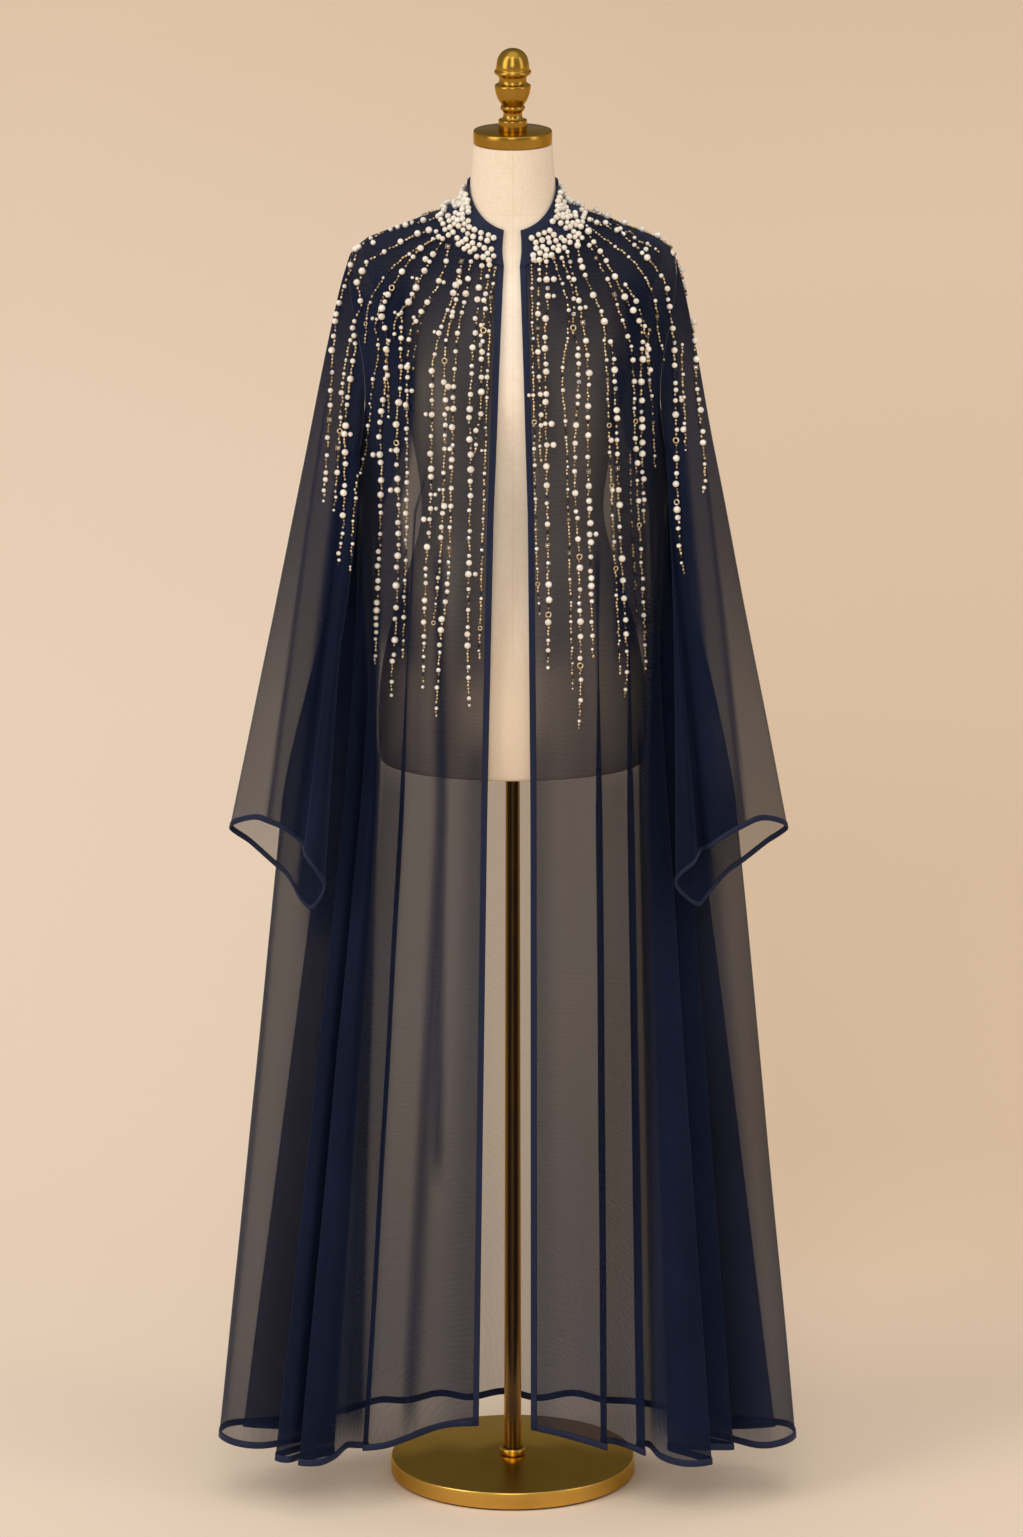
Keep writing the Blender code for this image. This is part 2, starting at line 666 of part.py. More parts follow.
def main():
    clearScene()
    cloth = makeMaterial("navy_chiffon", (0.012, 0.017, 0.045), 0.75, 0.0)
    binding = makeMaterial("navy_binding", (0.008, 0.014, 0.045), 0.6, 0.0)
    pearled = makeMaterial("pearled_collar", (0.72, 0.66, 0.56), 0.3, 0.0)
    linen = makeMaterial("cream_linen", (0.80, 0.68, 0.54), 0.9, 0.0)
    brass = makeMaterial("brass", (0.52, 0.31, 0.09), 0.28, 1.0)
    darkBrass = makeMaterial("dark_brass", (0.16, 0.10, 0.05), 0.3, 1.0)
    rubber = makeMaterial("rubber", (0.02, 0.02, 0.02), 0.8, 0.0)

    buildStand(brass, darkBrass, rubber)
    buildTorso(linen)
    buildPanel("right_front", rightFrontFolds, True, -1, cloth, binding)
    buildPanel("left_front", leftFrontFolds, True, 1, cloth, binding)
    buildPanel("back", backFolds, False, 0, cloth, binding)
    buildSleeve("right_sleeve", rightSleeveFolds, -1, cloth, binding)
    buildSleeve("left_sleeve", leftSleeveFolds, 1, cloth, binding)
    buildCollar(pearled)


main()
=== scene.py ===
import math
import random
from collections import namedtuple

import bmesh
import bpy
from mathutils import Matrix, Vector, noise
from mathutils.bvhtree import BVHTree


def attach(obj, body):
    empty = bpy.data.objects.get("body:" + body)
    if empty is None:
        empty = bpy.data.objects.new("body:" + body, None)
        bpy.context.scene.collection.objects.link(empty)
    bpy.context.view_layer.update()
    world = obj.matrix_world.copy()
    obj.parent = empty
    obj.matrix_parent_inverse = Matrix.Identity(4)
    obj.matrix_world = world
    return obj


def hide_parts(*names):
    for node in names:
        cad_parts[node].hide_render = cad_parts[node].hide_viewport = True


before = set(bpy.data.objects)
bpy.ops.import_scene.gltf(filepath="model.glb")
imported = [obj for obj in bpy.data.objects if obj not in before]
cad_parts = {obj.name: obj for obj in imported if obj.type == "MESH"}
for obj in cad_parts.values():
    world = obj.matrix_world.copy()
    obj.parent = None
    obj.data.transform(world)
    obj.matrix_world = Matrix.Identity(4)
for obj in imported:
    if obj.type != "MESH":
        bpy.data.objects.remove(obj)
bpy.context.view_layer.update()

# An abaya of navy chiffon with a pearled band collar and strings of beads, on a dress form.
# Metres, +Z up, the open front faces -Y, and right and left are the wearer's.


def rowsOf(kind, *rows):
    return [kind(*row) for row in rows]


# shapes shared with the solids
# The garment from the underarm up and the torso from its foot up, in metres: a height, and
# there the half width, front depth and back depth
Section = namedtuple("Section", "z width front back")
garmentSections = rowsOf(
    Section, (1.165, 0.176, 0.1085, 0.1), (1.23, 0.18, 0.1085, 0.097), (1.3, 0.186, 0.108, 0.097),
    (1.35, 0.188, 0.1045, 0.097), (1.4, 0.187, 0.0925, 0.092), (1.43, 0.184, 0.08, 0.0815),
    (1.446, 0.179, 0.072, 0.074), (1.453, 0.174, 0.069, 0.071), (1.46, 0.164, 0.066, 0.068),
    (1.4695, 0.14, 0.0625, 0.0645), (1.4775, 0.1185, 0.06, 0.0625), (1.485, 0.0985, 0.0582, 0.0605),
    (1.4916, 0.081, 0.057, 0.059), (1.497, 0.065, 0.0552, 0.0572), (1.505, 0.0565, 0.0536, 0.0552),
    (1.52, 0.0512, 0.0516, 0.0521), (1.53, 0.05, 0.0506, 0.0511))
torsoSections = rowsOf(
    Section, (0.855, 0.1503, 0.0984, 0.1075), (0.9, 0.153, 0.102, 0.112), (0.96, 0.149, 0.101, 0.111),
    (1.02, 0.137, 0.095, 0.101), (1.09, 0.115, 0.084, 0.086), (1.145, 0.103, 0.079, 0.077),
    (1.2, 0.108, 0.086, 0.079), (1.26, 0.121, 0.098, 0.085), (1.3, 0.13, 0.103, 0.09),
    (1.35, 0.141, 0.0995, 0.0925), (1.4, 0.155, 0.0885, 0.088), (1.425, 0.164, 0.0785, 0.08),
    (1.44, 0.167, 0.071, 0.073), (1.45, 0.166, 0.067, 0.069), (1.458, 0.16, 0.0635, 0.0655),
    (1.468, 0.136, 0.06, 0.062), (1.476, 0.115, 0.0575, 0.06), (1.4835, 0.095, 0.0555, 0.058),
    (1.4895, 0.0785, 0.054, 0.0565), (1.4965, 0.06, 0.0525, 0.0545), (1.505, 0.053, 0.051, 0.0525),
    (1.52, 0.0485, 0.049, 0.0495), (1.5688, 0.044, 0.044, 0.044))

# Fold lines of a panel, from the chest (an angle round it in degrees) over the hip to the hem
# (x and y in millimetres, and the hem's height), from the front or right edge on
Fold = namedtuple("Fold", "chest hipX hipY hemX hemY hem")
rightFrontFolds = rowsOf(
    Fold,
    # the flat front
    (7, -29, -113, -39, -95, 88), (20, -55, -111, -81, -98, 86), (28.5, -82, -104, -121, -122, 79),
    # pleat and valley
    (35.5, -106, -95, -146, -134, 74), (38, -129, -85, -171, -134, 71), (41, -124, -79, -166, -126, 71),
    (44.5, -137, -72, -180, -121, 70), (48, -149, -64, -191, -120, 69),
    # inner fold
    (52, -157, -63, -204, -148, 66), (55.5, -164, -67, -222, -166, 64), (59, -174, -61, -245, -163, 64),
    (62, -166, -51, -224, -146, 66), (65, -156, -46, -205, -135, 68),
    # outer fold
    (68, -170, -41, -230, -133, 66), (71, -182, -46, -256, -155, 64), (73.5, -193, -42, -272, -142, 64),
    (76, -180, -33, -242, -118, 66), (78.5, -163, -29, -206, -103, 74),
    # lobe at the side, to the seam
    (81, -182, -21, -238, -96, 70), (83.5, -216, -24, -286, -114, 67),
    (85.4, -246, -21, -319, -104, 67), (87, -263, -8, -338, -73, 67), (88.6, -258, 1, -333, -42, 67),
    (90, -244, 6, -316, -27, 66))
leftFrontFolds = rowsOf(
    Fold,
    # the flat front
    (5.5, 20, -113, 21, -97, 84), (18.5, 50, -111, 59, -110, 79), (27, 76, -107, 91, -127, 75),
    # pleat
    (31, 101, -106, 108, -138, 73), (34.5, 94, -91, 101, -120, 73), (38, 107, -86, 114, -112, 72),
    (42, 120, -84, 132, -125, 71),
    # band
    (46, 138, -87, 152, -143, 68), (49, 130, -68, 142, -120, 68), (52, 142, -60, 156, -112, 68),
    # large fold
    (55.5, 150, -66, 170, -150, 66), (59.5, 162, -68, 198, -172, 65), (63, 177, -58, 228, -163, 65),
    (66, 167, -46, 205, -146, 67), (69, 155, -40, 178, -130, 71),
    # small fold
    (72, 172, -36, 214, -122, 68), (74.5, 199, -38, 254, -115, 66), (77, 182, -29, 226, -101, 68),
    (79.5, 164, -24, 197, -88, 73),
    # lobe at the side, to the seam
    (82, 183, -18, 232, -82, 70), (84.2, 216, -21, 280, -112, 67), (85.6, 241, -17, 309, -104, 67),
    (87, 255, -5, 326, -72, 66), (88.6, 250, 2, 321, -42, 67), (90, 236, 6, 304, -27, 66))
backFolds = rowsOf(
    Fold,
    # lobe, second fold, hollow and hip on the right
    (-90, -244, 6, -316, -27, 66), (-87, -218, 10, -286, -21, 64), (-84, -185, 12, -246, -20, 59),
    (-81, -198, 19, -276, -6, 54), (-78, -215, 26, -313, 6, 53), (-75, -196, 34, -284, 24, 51),
    (-70, -168, 42, -222, 36, 54), (-62, -148, 66, -186, 56, 55),
    # flutes
    (-53, -128, 88, -156, 82, 56), (-42, -98, 102, -122, 84, 55), (-30, -68, 116, -86, 116, 53),
    (-18, -42, 117, -50, 101, 53), (-4, -10, 125, -10, 132, 50), (11, 26, 119, 30, 107, 50),
    (26, 62, 117, 70, 122, 51), (38, 88, 103, 106, 92, 53), (50, 116, 94, 142, 82, 54),
    # hip, hollow, second fold and lobe on the left
    (62, 148, 66, 182, 56, 55), (70, 168, 42, 216, 36, 54), (75, 193, 34, 276, 24, 51),
    (78, 211, 26, 305, 6, 53), (81, 195, 19, 268, -6, 54), (84, 184, 12, 240, -20, 59),
    (87, 212, 10, 276, -21, 64), (90, 236, 6, 304, -27, 66))

# Fold lines of a sleeve, from the armhole (part 0 to 1 round it) to the cuff in millimetres,
# bowed outwards on the way
SleeveFold = namedtuple("SleeveFold", "part bow cuffX cuffY cuffZ")
rightSleeveFolds = rowsOf(
    SleeveFold,
    # outer edge, front and valley
    (0, 4, -320, -98, 801), (0.08, 3, -293, -124, 818), (0.14, 2, -274, -132, 815),
    (0.19, 0, -256, -131, 806), (0.23, 0, -238, -126, 789),
    # fold and inner edge
    (0.27, 0, -234, -141, 780), (0.31, 0, -225, -150, 768), (0.35, 4, -215, -140, 751),
    (0.4, 10, -213, -120, 733),
    # underside and back
    (0.5, 12, -227, -104, 708), (0.6, 16, -240, -97, 715), (0.7, 10, -255, -90, 741),
    (0.8, 6, -273, -84, 756), (0.9, 8, -298, -84, 779))
leftSleeveFolds = rowsOf(
    SleeveFold,
    # outer edge, front and valley
    (0, 2, 311, -98, 801), (0.08, 2, 283, -123, 817), (0.14, 2, 258, -131, 809),
    (0.19, 0, 237, -132, 797), (0.235, 0, 223, -127, 786), (0.275, 0, 212, -119, 779),
    # fold and inner edge
    (0.32, 0, 203, -138, 768), (0.36, 4, 188, -134, 754), (0.4, 10, 185, -117, 736),
    # underside and back
    (0.5, 12, 209, -102, 711), (0.6, 16, 223, -96, 724), (0.7, 10, 243, -89, 745),
    (0.8, 6, 261, -84, 757), (0.9, 8, 287, -84, 778))

garment = {
    "chest level": 1.165,
    "hip level": 0.800,
    "hem level": 0.067,
    "neck front height": 1.443,
    "neck side height": 1.4916,
    "neck half width": 0.081,
    "neck rise": 0.8,
    "yoke length": 0.31,
    "armhole starts": 0.139,     # share of the way from the neck down to the chest
    "armhole depth": 0.30,
    "hip flare": 0.60,           # how steeply the folds spread there, 1 being straight
    "hem flare": 1.35,
    "samples per fold": 6,
    "row height": 0.010,
    "last row": 0.004,           # the closest that a row comes to the last one, in rows
}
armholeRows = [garment["armhole starts"], 0.30, 0.52, 0.76, 1.0]


# how a point of the garment is found
def hermite(start, end, startSlope, endSlope, share):
    square = share * share
    cube = square * share
    value = start * (2 * cube - 3 * square + 1) + startSlope * (cube - 2 * square + share)
    return value + end * (3 * square - 2 * cube) + endSlope * (cube - square)


def catmull(before, start, end, after, share):
    return hermite(start, end, (end - before) * 0.5, (after - start) * 0.5, share)


def sectionAt(sections, z):
    z = min(max(z, sections[0].z), sections[-1].z)
    index = 0
    while index < len(sections) - 2 and sections[index + 1].z < z:
        index += 1
    low, high = sections[index], sections[index + 1]
    before, after = sections[max(index - 1, 0)], sections[min(index + 2, len(sections) - 1)]
    span, sizes = high.z - low.z, []
    for previous, start, end, following in list(zip(before, low, high, after))[1:]:
        startSlope = (end - previous) / (high.z - before.z) * span
        endSlope = (following - start) / (after.z - low.z) * span
        sizes.append(hermite(start, end, startSlope, endSlope, (z - low.z) / span))
    return sizes


def smoothLine(points, steps):
    line = []
    for index in range(1, len(points) - 2):
        line += [catmull(*points[index - 1:index + 3], step / steps) for step in range(steps)]
    return line + [points[-2].copy()]


def smoothLoop(points, steps):
    loop = []
    for index in range(len(points)):
        around = [points[(index + shift) % len(points)] for shift in (-1, 0, 1, 2)]
        loop += [catmull(*around, step / steps) for step in range(steps)]
    return loop


def onGarment(ratio, z, isBack):
    width, front, back = sectionAt(garmentSections, z)
    depth = math.sqrt(max(0.0, 1.0 - ratio * ratio))
    return Vector((ratio * width, back * depth if isBack else -front * depth, z))


def neckEdge(angle, isBack):
    height = garment["neck side height"]
    if not isBack:
        drop = height - garment["neck front height"]
        height -= drop * (1 - (1 - math.cos(angle)) ** garment["neck rise"])
    width = sectionAt(garmentSections, height)[0]
    return garment["neck half width"] * math.sin(angle) / width, height


# rows run 0 to 1 from neck to chest, 1 to 2 to the hip and 2 to 3 to the hem
def foldPoint(fold, row, isBack, side):
    angle = math.radians(fold.chest)
    lateral = math.sin(angle) * (side or 1)
    chestLevel, hipLevel = garment["chest level"], garment["hip level"]
    if row <= 1.0:
        neckRatio, neckHeight = neckEdge(abs(angle), isBack)
        neckTurn = math.asin(min(neckRatio, 1.0))
        z = neckHeight + (chestLevel - neckHeight) * row
        turn = neckTurn + (abs(angle) - neckTurn) * row
        past = (row - garment["armhole starts"]) / (1.0 - garment["armhole starts"])
        if past > 0.0:
            quarter = turn / (math.pi / 2)
            turn *= 1.0 - garment["armhole depth"] * math.sin(math.pi * past) * quarter
        return onGarment(math.copysign(math.sin(turn), lateral), z, isBack)
    chest = onGarment(lateral, chestLevel, isBack)
    hip = Vector((fold.hipX, fold.hipY, hipLevel * 1000)) * 0.001
    hem = Vector((fold.hemX, fold.hemY, fold.hem)) * 0.001
    upper, lower = chestLevel - hipLevel, hipLevel - hem.z
    hipSlope = (hem - hip) * (garment["hip flare"] / lower)
    if row <= 2.0:
        return hermite(chest, hip, hip - chest, hipSlope * upper, row - 1.0)
    return hermite(hip, hem, hipSlope * lower, (hem - hip) * garment["hem flare"], row - 2.0)


# except along the armhole, a panel's curve runs on towards the panel that it is sewn to
def bodyLine(folds, row, isBack, side):
    points = [foldPoint(fold, row, isBack, side) for fold in folds]
    first, last = points[0], points[-1]
    if not garment["armhole starts"] < row < 1.0:
        if isBack:
            first = foldPoint(rightFrontFolds[-2], row, False, -1)
            last = foldPoint(leftFrontFolds[-2], row, False, 1)
        else:
            last = foldPoint(backFolds[1] if side == -1 else backFolds[-2], row, True, 0)
    return smoothLine([first] + points + [last], garment["samples per fold"])


def hemShare(width):
    return width / (garment["hip level"] - garment["hem level"])


# the body's rows from the neck to lastRow, about a centimetre apart
def fineRows(lastRow):
    spans = [garment["yoke length"], garment["chest level"] - garment["hip level"],
             garment["hip level"] - garment["hem level"]]
    rows = []
    for index, span in enumerate(spans):
        steps = round(span / garment["row height"])
        rows += [index + step / steps for step in range(steps)]
    return [row for row in rows if row < lastRow - garment["last row"]] + [lastRow]


def armholePoint(part, side, angle=90.0):
    isBack = part > 0.5
    place = ((1.0 - part) * 2 if isBack else part * 2) * (len(armholeRows) - 1)
    index = min(int(place), len(armholeRows) - 2)
    row = armholeRows[index] + (armholeRows[index + 1] - armholeRows[index]) * (place - index)
    return foldPoint(Fold(angle, 0, 0, 0, 0, 0), row, isBack, side)


def sleevePoint(cuff, part, share, side):
    top = armholePoint(part, side)
    point = top.lerp(cuff.xyz, share ** sleeve["fall"])
    forward = 1.0 - (1.0 - share ** sleeve["forward"]) ** 2
    point.y = top.y + (cuff.y - top.y) * forward
    early = math.sin(math.pi * share ** sleeve["bow peak"])
    point.x += side * cuff.w * early
    inside = [armholePoint((part + step) % 1.0, side, sleeve["inner turn"])
              for step in (-0.002, 0.002)]
    across = (top - (inside[0] + inside[1]) * 0.5).normalized()
    puff = sleeve["puff"] * early * abs(math.cos(math.pi * part))
    return point + across * (sleeve["seam"] * (1.0 - share) + puff)


def sleeveRow(folds, share, side):
    steps = garment["samples per fold"]
    cuffs = [Vector((fold.cuffX, fold.cuffY, fold.cuffZ, fold.bow)) * 0.001 for fold in folds]
    parts = [fold.part for fold in folds] + [1.0]
    row = []
    for index, cuff in enumerate(smoothLoop(cuffs, steps)):
        place, step = divmod(index, steps)
        part = parts[place] + (parts[place + 1] - parts[place]) * step / steps
        row.append(sleevePoint(cuff, part, share, side))
    return row


# pieces; one without a slot is part of the studio
def newPiece(name, bm, materials, slot=None, replaced=(), smooth=True, smoothAngle=None):
    mesh = bpy.data.meshes.new(name)
    bm.to_mesh(mesh)
    bm.free()
    if smooth:
        mesh.shade_smooth()
    if smoothAngle:
        mesh.set_sharp_from_angle(angle=math.radians(smoothAngle))
    for material in materials:
        mesh.materials.append(material)
    piece = bpy.data.objects.new(name, mesh)
    bpy.context.scene.collection.objects.link(piece)
    if slot:
        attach(piece, "root")
    if replaced:
        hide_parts(*replaced)
    return piece


def giveWall(piece, thickness):
    wall = piece.modifiers.new("wall", "SOLIDIFY")
    wall.thickness, wall.offset = thickness, 0.0


# a grid whose rows of vertices are moved to rows of points, top row first
def gridOnPoints(points, closed=False, flip=False, covers=None):
    columns, rows = len(points[0]) + closed, len(points)
    bm = bmesh.new()
    uvs = bm.loops.layers.uv.new("UVMap")
    cover = bm.verts.layers.float.new("cover")
    bmesh.ops.create_grid(bm, x_segments=columns - 1, y_segments=rows - 1, size=1.0)
    width = sum((a - b).length for a, b in zip(points[rows // 2], points[rows // 2][1:]))
    height = sum((a[0] - b[0]).length for a, b in zip(points, points[1:]))
    for face in bm.faces:
        for loop in face.loops:
            flat = loop.vert.co
            loop[uvs].uv = ((flat.x + 1) * 0.5 * width, (flat.y + 1) * 0.5 * height)
    for vert in bm.verts:
        column = round((vert.co.x + 1) * 0.5 * (columns - 1)) % len(points[0])
        row = round((1 - vert.co.y) * 0.5 * (rows - 1))
        vert.co = points[row][column]
        if covers:
            vert[cover] = covers[row][column]
    if closed:
        bmesh.ops.remove_doubles(bm, verts=bm.verts[:], dist=0.00001)
    if flip:
        bmesh.ops.reverse_faces(bm, faces=bm.faces[:])
    return bm


def gridNormals(points, closed, flip):
    rows, columns = len(points), len(points[0])
    normals = []
    for row, line in enumerate(points):
        above, below = points[max(row - 1, 0)], points[min(row + 1, rows - 1)]
        facing = []
        for column in range(columns):
            after = line[(column + 1) % columns if closed else min(column + 1, columns - 1)]
            before = line[column - 1 if closed else max(column - 1, 0)]
            normal = (after - before).cross(above[column] - below[column]).normalized()
            facing.append(-normal if flip else normal)
        normals.append(facing)
    return normals


def arcLengths(line):
    arc = [0.0]
    for before, after in zip(line, line[1:]):
        arc.append(arc[-1] + (after - before).length)
    return arc


# A soft ridge (depth over 0) or trough down the cloth. "at" counts fold lines, "lean" is how
# many it drifts by its foot; top and foot are heights in metres, width and depth millimetres.
Crease = namedtuple("Crease", "at lean top foot width depth")
creaseReach = 2.6               # how many of its widths a crease reaches to each side
crinkle = (22, 22, 5)           # waves of the cloth's fine ripple in a metre


def addCreases(points, creases, ripple, closed=False, flip=False):
    normals = gridNormals(points, closed, flip)
    moved = []
    for line, facing in zip(points, normals):
        arc, shifts = arcLengths(line), [0.0] * len(line)
        height = sum(point.z for point in line) / len(line)
        for crease in creases:
            share = (crease.top - height) / (crease.top - crease.foot)
            if not 0.0 < share < 1.0:
                continue
            place = (crease.at + crease.lean * share) * garment["samples per fold"]
            index = min(max(int(place), 0), len(line) - 2)
            centre = arc[index] + (arc[index + 1] - arc[index]) * (place - index)
            fade = math.sin(math.pi * share ** 0.8) ** 0.7    # deepest above its middle
            for column, distance in enumerate(arc):
                offset = (distance - centre) / (crease.width * 0.001)
                if abs(offset) < creaseReach:
                    shifts[column] += crease.depth * 0.001 * fade * math.exp(-offset * offset)
        row = []
        for point, normal, shift in zip(line, facing, shifts):
            waver = noise.noise(Vector([value * wave for value, wave in zip(point, crinkle)]))
            row.append(point + normal * (shift + waver * ripple))
        moved.append(row)
    return moved


# Where folds lie over each other and hide more, and under the arms and along the sides beside the
# sleeves, where hiding more is also painted shade:
# from one fold line to another, faded over "soft" fold lines and drifting by "lean" from the top height
# to the foot, both in metres.
Layer = namedtuple("Layer", "start end soft lean top foot cover")
layerFade = 0.03


def softStep(value, low, high):
    share = min(max((value - low) / (high - low), 0.0), 1.0)
    return share * share * (3 - 2 * share)


def coverAt(levels, layers, place, height):
    cover = levels[-1][1]
    for (high, first), (low, second) in zip(levels, levels[1:]):
        if low <= height <= high:
            cover = second + (first - second) * (height - low) / (high - low)
    if height > levels[0][0]:
        cover = levels[0][1]
    for layer in layers:
        drift = layer.lean * (layer.top - height) / (layer.top - layer.foot)
        start, end = layer.start + drift, layer.end + drift
        within = softStep(place, start - layer.soft, start + layer.soft)
        within *= 1.0 - softStep(place, end - layer.soft, end + layer.soft)
        within *= softStep(layer.top - height, -layerFade, layerFade)
        within *= softStep(height - layer.foot, -layerFade, layerFade)
        cover += (layer.cover - cover) * within
    return cover


def clothCovers(points, levels, layers):
    steps = garment["samples per fold"]
    return [[coverAt(levels, layers, column / steps, point.z) for column, point in enumerate(line)]
            for line in points]


# cuts a length off the start of a row, spreading the points of its first span again
def cutStart(line, length, span=12):
    arc = arcLengths(line[:span + 1])
    fresh = []
    for step in range(span):
        goal = length + (arc[-1] - length) * step / span
        index = 0
        while arc[index + 1] < goal:
            index += 1
        share = (goal - arc[index]) / (arc[index + 1] - arc[index])
        fresh.append(line[index].lerp(line[index + 1], share))
    return fresh + line[span:]


# finishes
# a node tree with short ways to add to it, where a socket given as a value is linked
class Nodes:
    def __init__(self, tree):
        self.tree = tree

    def give(self, node, key, value):
        if isinstance(value, bpy.types.NodeSocket):
            self.tree.links.new(value, node.inputs[key])
        else:
            node.inputs[key].default_value = value

    def add(self, kind, inputs=(), **settings):
        node = self.tree.nodes.new("ShaderNode" + kind)
        for name, value in settings.items():
            setattr(node, name, value)
        for key, value in dict(inputs).items():
            self.give(node, key, value)
        return node

    def ramp(self, value, fromLow, fromHigh, toLow=0.0, toHigh=1.0):
        return self.add("MapRange", {"Value": value, "From Min": fromLow, "From Max": fromHigh,
                                     "To Min": toLow, "To Max": toHigh}).outputs[0]

    def math(self, operation, first, second=0.0):
        return self.add("Math", {0: first, 1: second}, operation=operation).outputs[0]

    def times(self, first, second):
        return self.math("MULTIPLY", first, second)

    def total(self, first, *others):
        for value in others:
            first = self.math("ADD", first, value)
        return first


class Finish(Nodes):
    def __init__(self, name, **values):
        self.material = bpy.data.materials.new(name)
        self.material.use_nodes = True
        super().__init__(self.material.node_tree)
        self.shader = self.tree.nodes["Principled BSDF"]
        for key, value in values.items():
            self.give(self.shader, key.replace("_", " "), value)
        self.place = self.add("TexCoord").outputs["Object"]

    def noise(self, scale, detail, stretch=None):
        place = self.place
        if stretch:
            place = self.add("Mapping", {"Vector": place, "Scale": stretch}).outputs[0]
        return self.noiseAt(place, scale, detail)

    def noiseAt(self, place, scale, detail):
        return self.add("TexNoise", {"Vector": place, "Scale": scale, "Detail": detail}).outputs[0]

    def mix(self, factor, first, second):
        if isinstance(first, tuple):
            first = (*first, 1)
        return self.add("Mix", {0: factor, 6: first, 7: (*second, 1)}, data_type="RGBA").outputs[2]

    def paint(self, colour):
        self.give(self.shader, "Base Color", colour)

    def bump(self, height, strength, distance):
        bump = self.add("Bump", {"Height": height, "Strength": strength, "Distance": distance})
        self.give(self.shader, "Normal", bump.outputs[0])


chiffonLook = {
    "dark": (0.0029, 0.0053, 0.0160),
    "light": (0.0060, 0.0100, 0.0290),
    "edge cover": 0.95,        # how much it hides where it turns away from the eye
    "moire": 0.034,
    "thread pitch": 0.0011,
}


# how much of what is behind it the cloth hides is the mesh attribute "cover"
def makeChiffon(name):
    cloth = Finish(name, Roughness=0.72, Sheen_Weight=0.07, Sheen_Roughness=0.45,
                   Sheen_Tint=(0.35, 0.45, 0.85, 1.0), Specular_IOR_Level=0.05)
    cloud = cloth.noise(9.0, 4.0, stretch=(1.0, 1.0, 0.35))
    cloth.paint(cloth.mix(cloth.ramp(cloud, 0.3, 0.7), chiffonLook["dark"], chiffonLook["light"]))
    flat = cloth.add("TexCoord").outputs["UV"]
    threads = cloth.add("TexWave", {
        "Vector": flat, "Scale": 0.314 / chiffonLook["thread pitch"], "Distortion": 1.2,
        "Detail": 2.0, "Detail Scale": 1.5}, wave_type="BANDS", bands_direction="DIAGONAL")
    ripple = cloth.add("TexWave", {
        "Vector": flat, "Scale": 62.0, "Distortion": 9.0, "Detail": 3.0, "Detail Scale": 0.8},
        wave_type="RINGS", rings_direction="SPHERICAL")
    threads, ripple = threads.outputs["Fac"], ripple.outputs["Fac"]
    grain = cloth.total(threads, cloth.times(ripple, 0.6))
    turn = cloth.add("LayerWeight", {"Blend": 0.30}).outputs["Facing"]
    cover = cloth.add("Attribute", attribute_name="cover").outputs["Fac"]
    edge = cloth.math("MAXIMUM", cover, chiffonLook["edge cover"])
    turned = cloth.ramp(cloth.math("POWER", turn, 2.0), 0.0, 1.0, cover, edge)
    moire = chiffonLook["moire"]
    cloth.give(cloth.shader, "Alpha", cloth.total(turned, cloth.ramp(grain, 0.0, 1.6, -moire, moire)))
    cloth.bump(threads, 0.12, 0.0004)
    return cloth.material


def makeTape(name, dark, light):
    cloth = Finish(name, Roughness=0.6, Sheen_Weight=0.08, Sheen_Roughness=0.4,
                   Sheen_Tint=(0.4, 0.5, 0.9, 1.0), Specular_IOR_Level=0.2)
    cloth.paint(cloth.mix(cloth.noise(60.0, 4.0), dark, light))
    cloth.bump(cloth.noise(1500.0, 1.0), 0.25, 0.0004)
    return cloth.material


def makePearl():
    nacre = Finish("cream_pearl", Roughness=0.20, Coat_Weight=0.8, Coat_Roughness=0.05,
                   Specular_IOR_Level=0.55, Sheen_Weight=0.15, Sheen_Roughness=0.3,
                   Sheen_Tint=(1.0, 0.85, 0.8, 1.0))
    cloud = nacre.ramp(nacre.noise(160.0, 2.0), 0.3, 0.7)
    nacre.paint(nacre.mix(cloud, (0.66, 0.56, 0.45), (0.93, 0.87, 0.77)))
    nacre.bump(nacre.noise(700.0, 2.0), 0.08, 0.0003)
    return nacre.material


def makeSeed(name, first, second, roughness):
    glass = Finish(name, Roughness=roughness, Metallic=0.85, Coat_Weight=0.3, Coat_Roughness=0.15)
    glass.paint(glass.mix(glass.ramp(glass.noise(330.0, 1.0), 0.35, 0.65), first, second))
    return glass.material


def makeBrass(name, first, second, roughness, rim=None):
    metal = Finish(name, Metallic=1.0, Anisotropic=0.55, Specular_Tint=(1.0, 0.82, 0.50, 1.0))
    turned = metal.add("Tangent", direction_type="RADIAL", axis="Z")
    metal.give(metal.shader, "Tangent", turned.outputs[0])
    flat = metal.add("VectorMath", {0: metal.place, 1: (1.0, 1.0, 0.0)}, operation="MULTIPLY")
    radius = metal.add("VectorMath", {0: flat.outputs[0]}, operation="LENGTH").outputs[1]
    height = metal.add("SeparateXYZ", {0: metal.place}).outputs[2]
    rings = metal.add("CombineXYZ", {0: metal.times(radius, 900.0), 1: metal.times(height, 900.0)})
    brushed = metal.noiseAt(rings.outputs[0], 1.0, 2.0)
    age = metal.total(metal.noise(14.0, 4.0), metal.times(brushed, 0.20))
    colour = metal.mix(metal.ramp(age, 0.45, 0.95), first, second)
    # painted reflection: the colour turns lighter towards the edges, where the surface turns away from
    # the eye
    if rim:
        turn = metal.add("LayerWeight", {"Blend": 0.5}).outputs["Facing"]
        colour = metal.mix(metal.ramp(turn, 0.10, 0.55), colour, rim)
    metal.paint(colour)
    worn = metal.ramp(age, 0.4, 1.0, roughness - 0.03, roughness + 0.04)
    metal.give(metal.shader, "Roughness", worn)
    metal.bump(brushed, 0.03, 0.0002)
    return metal.material


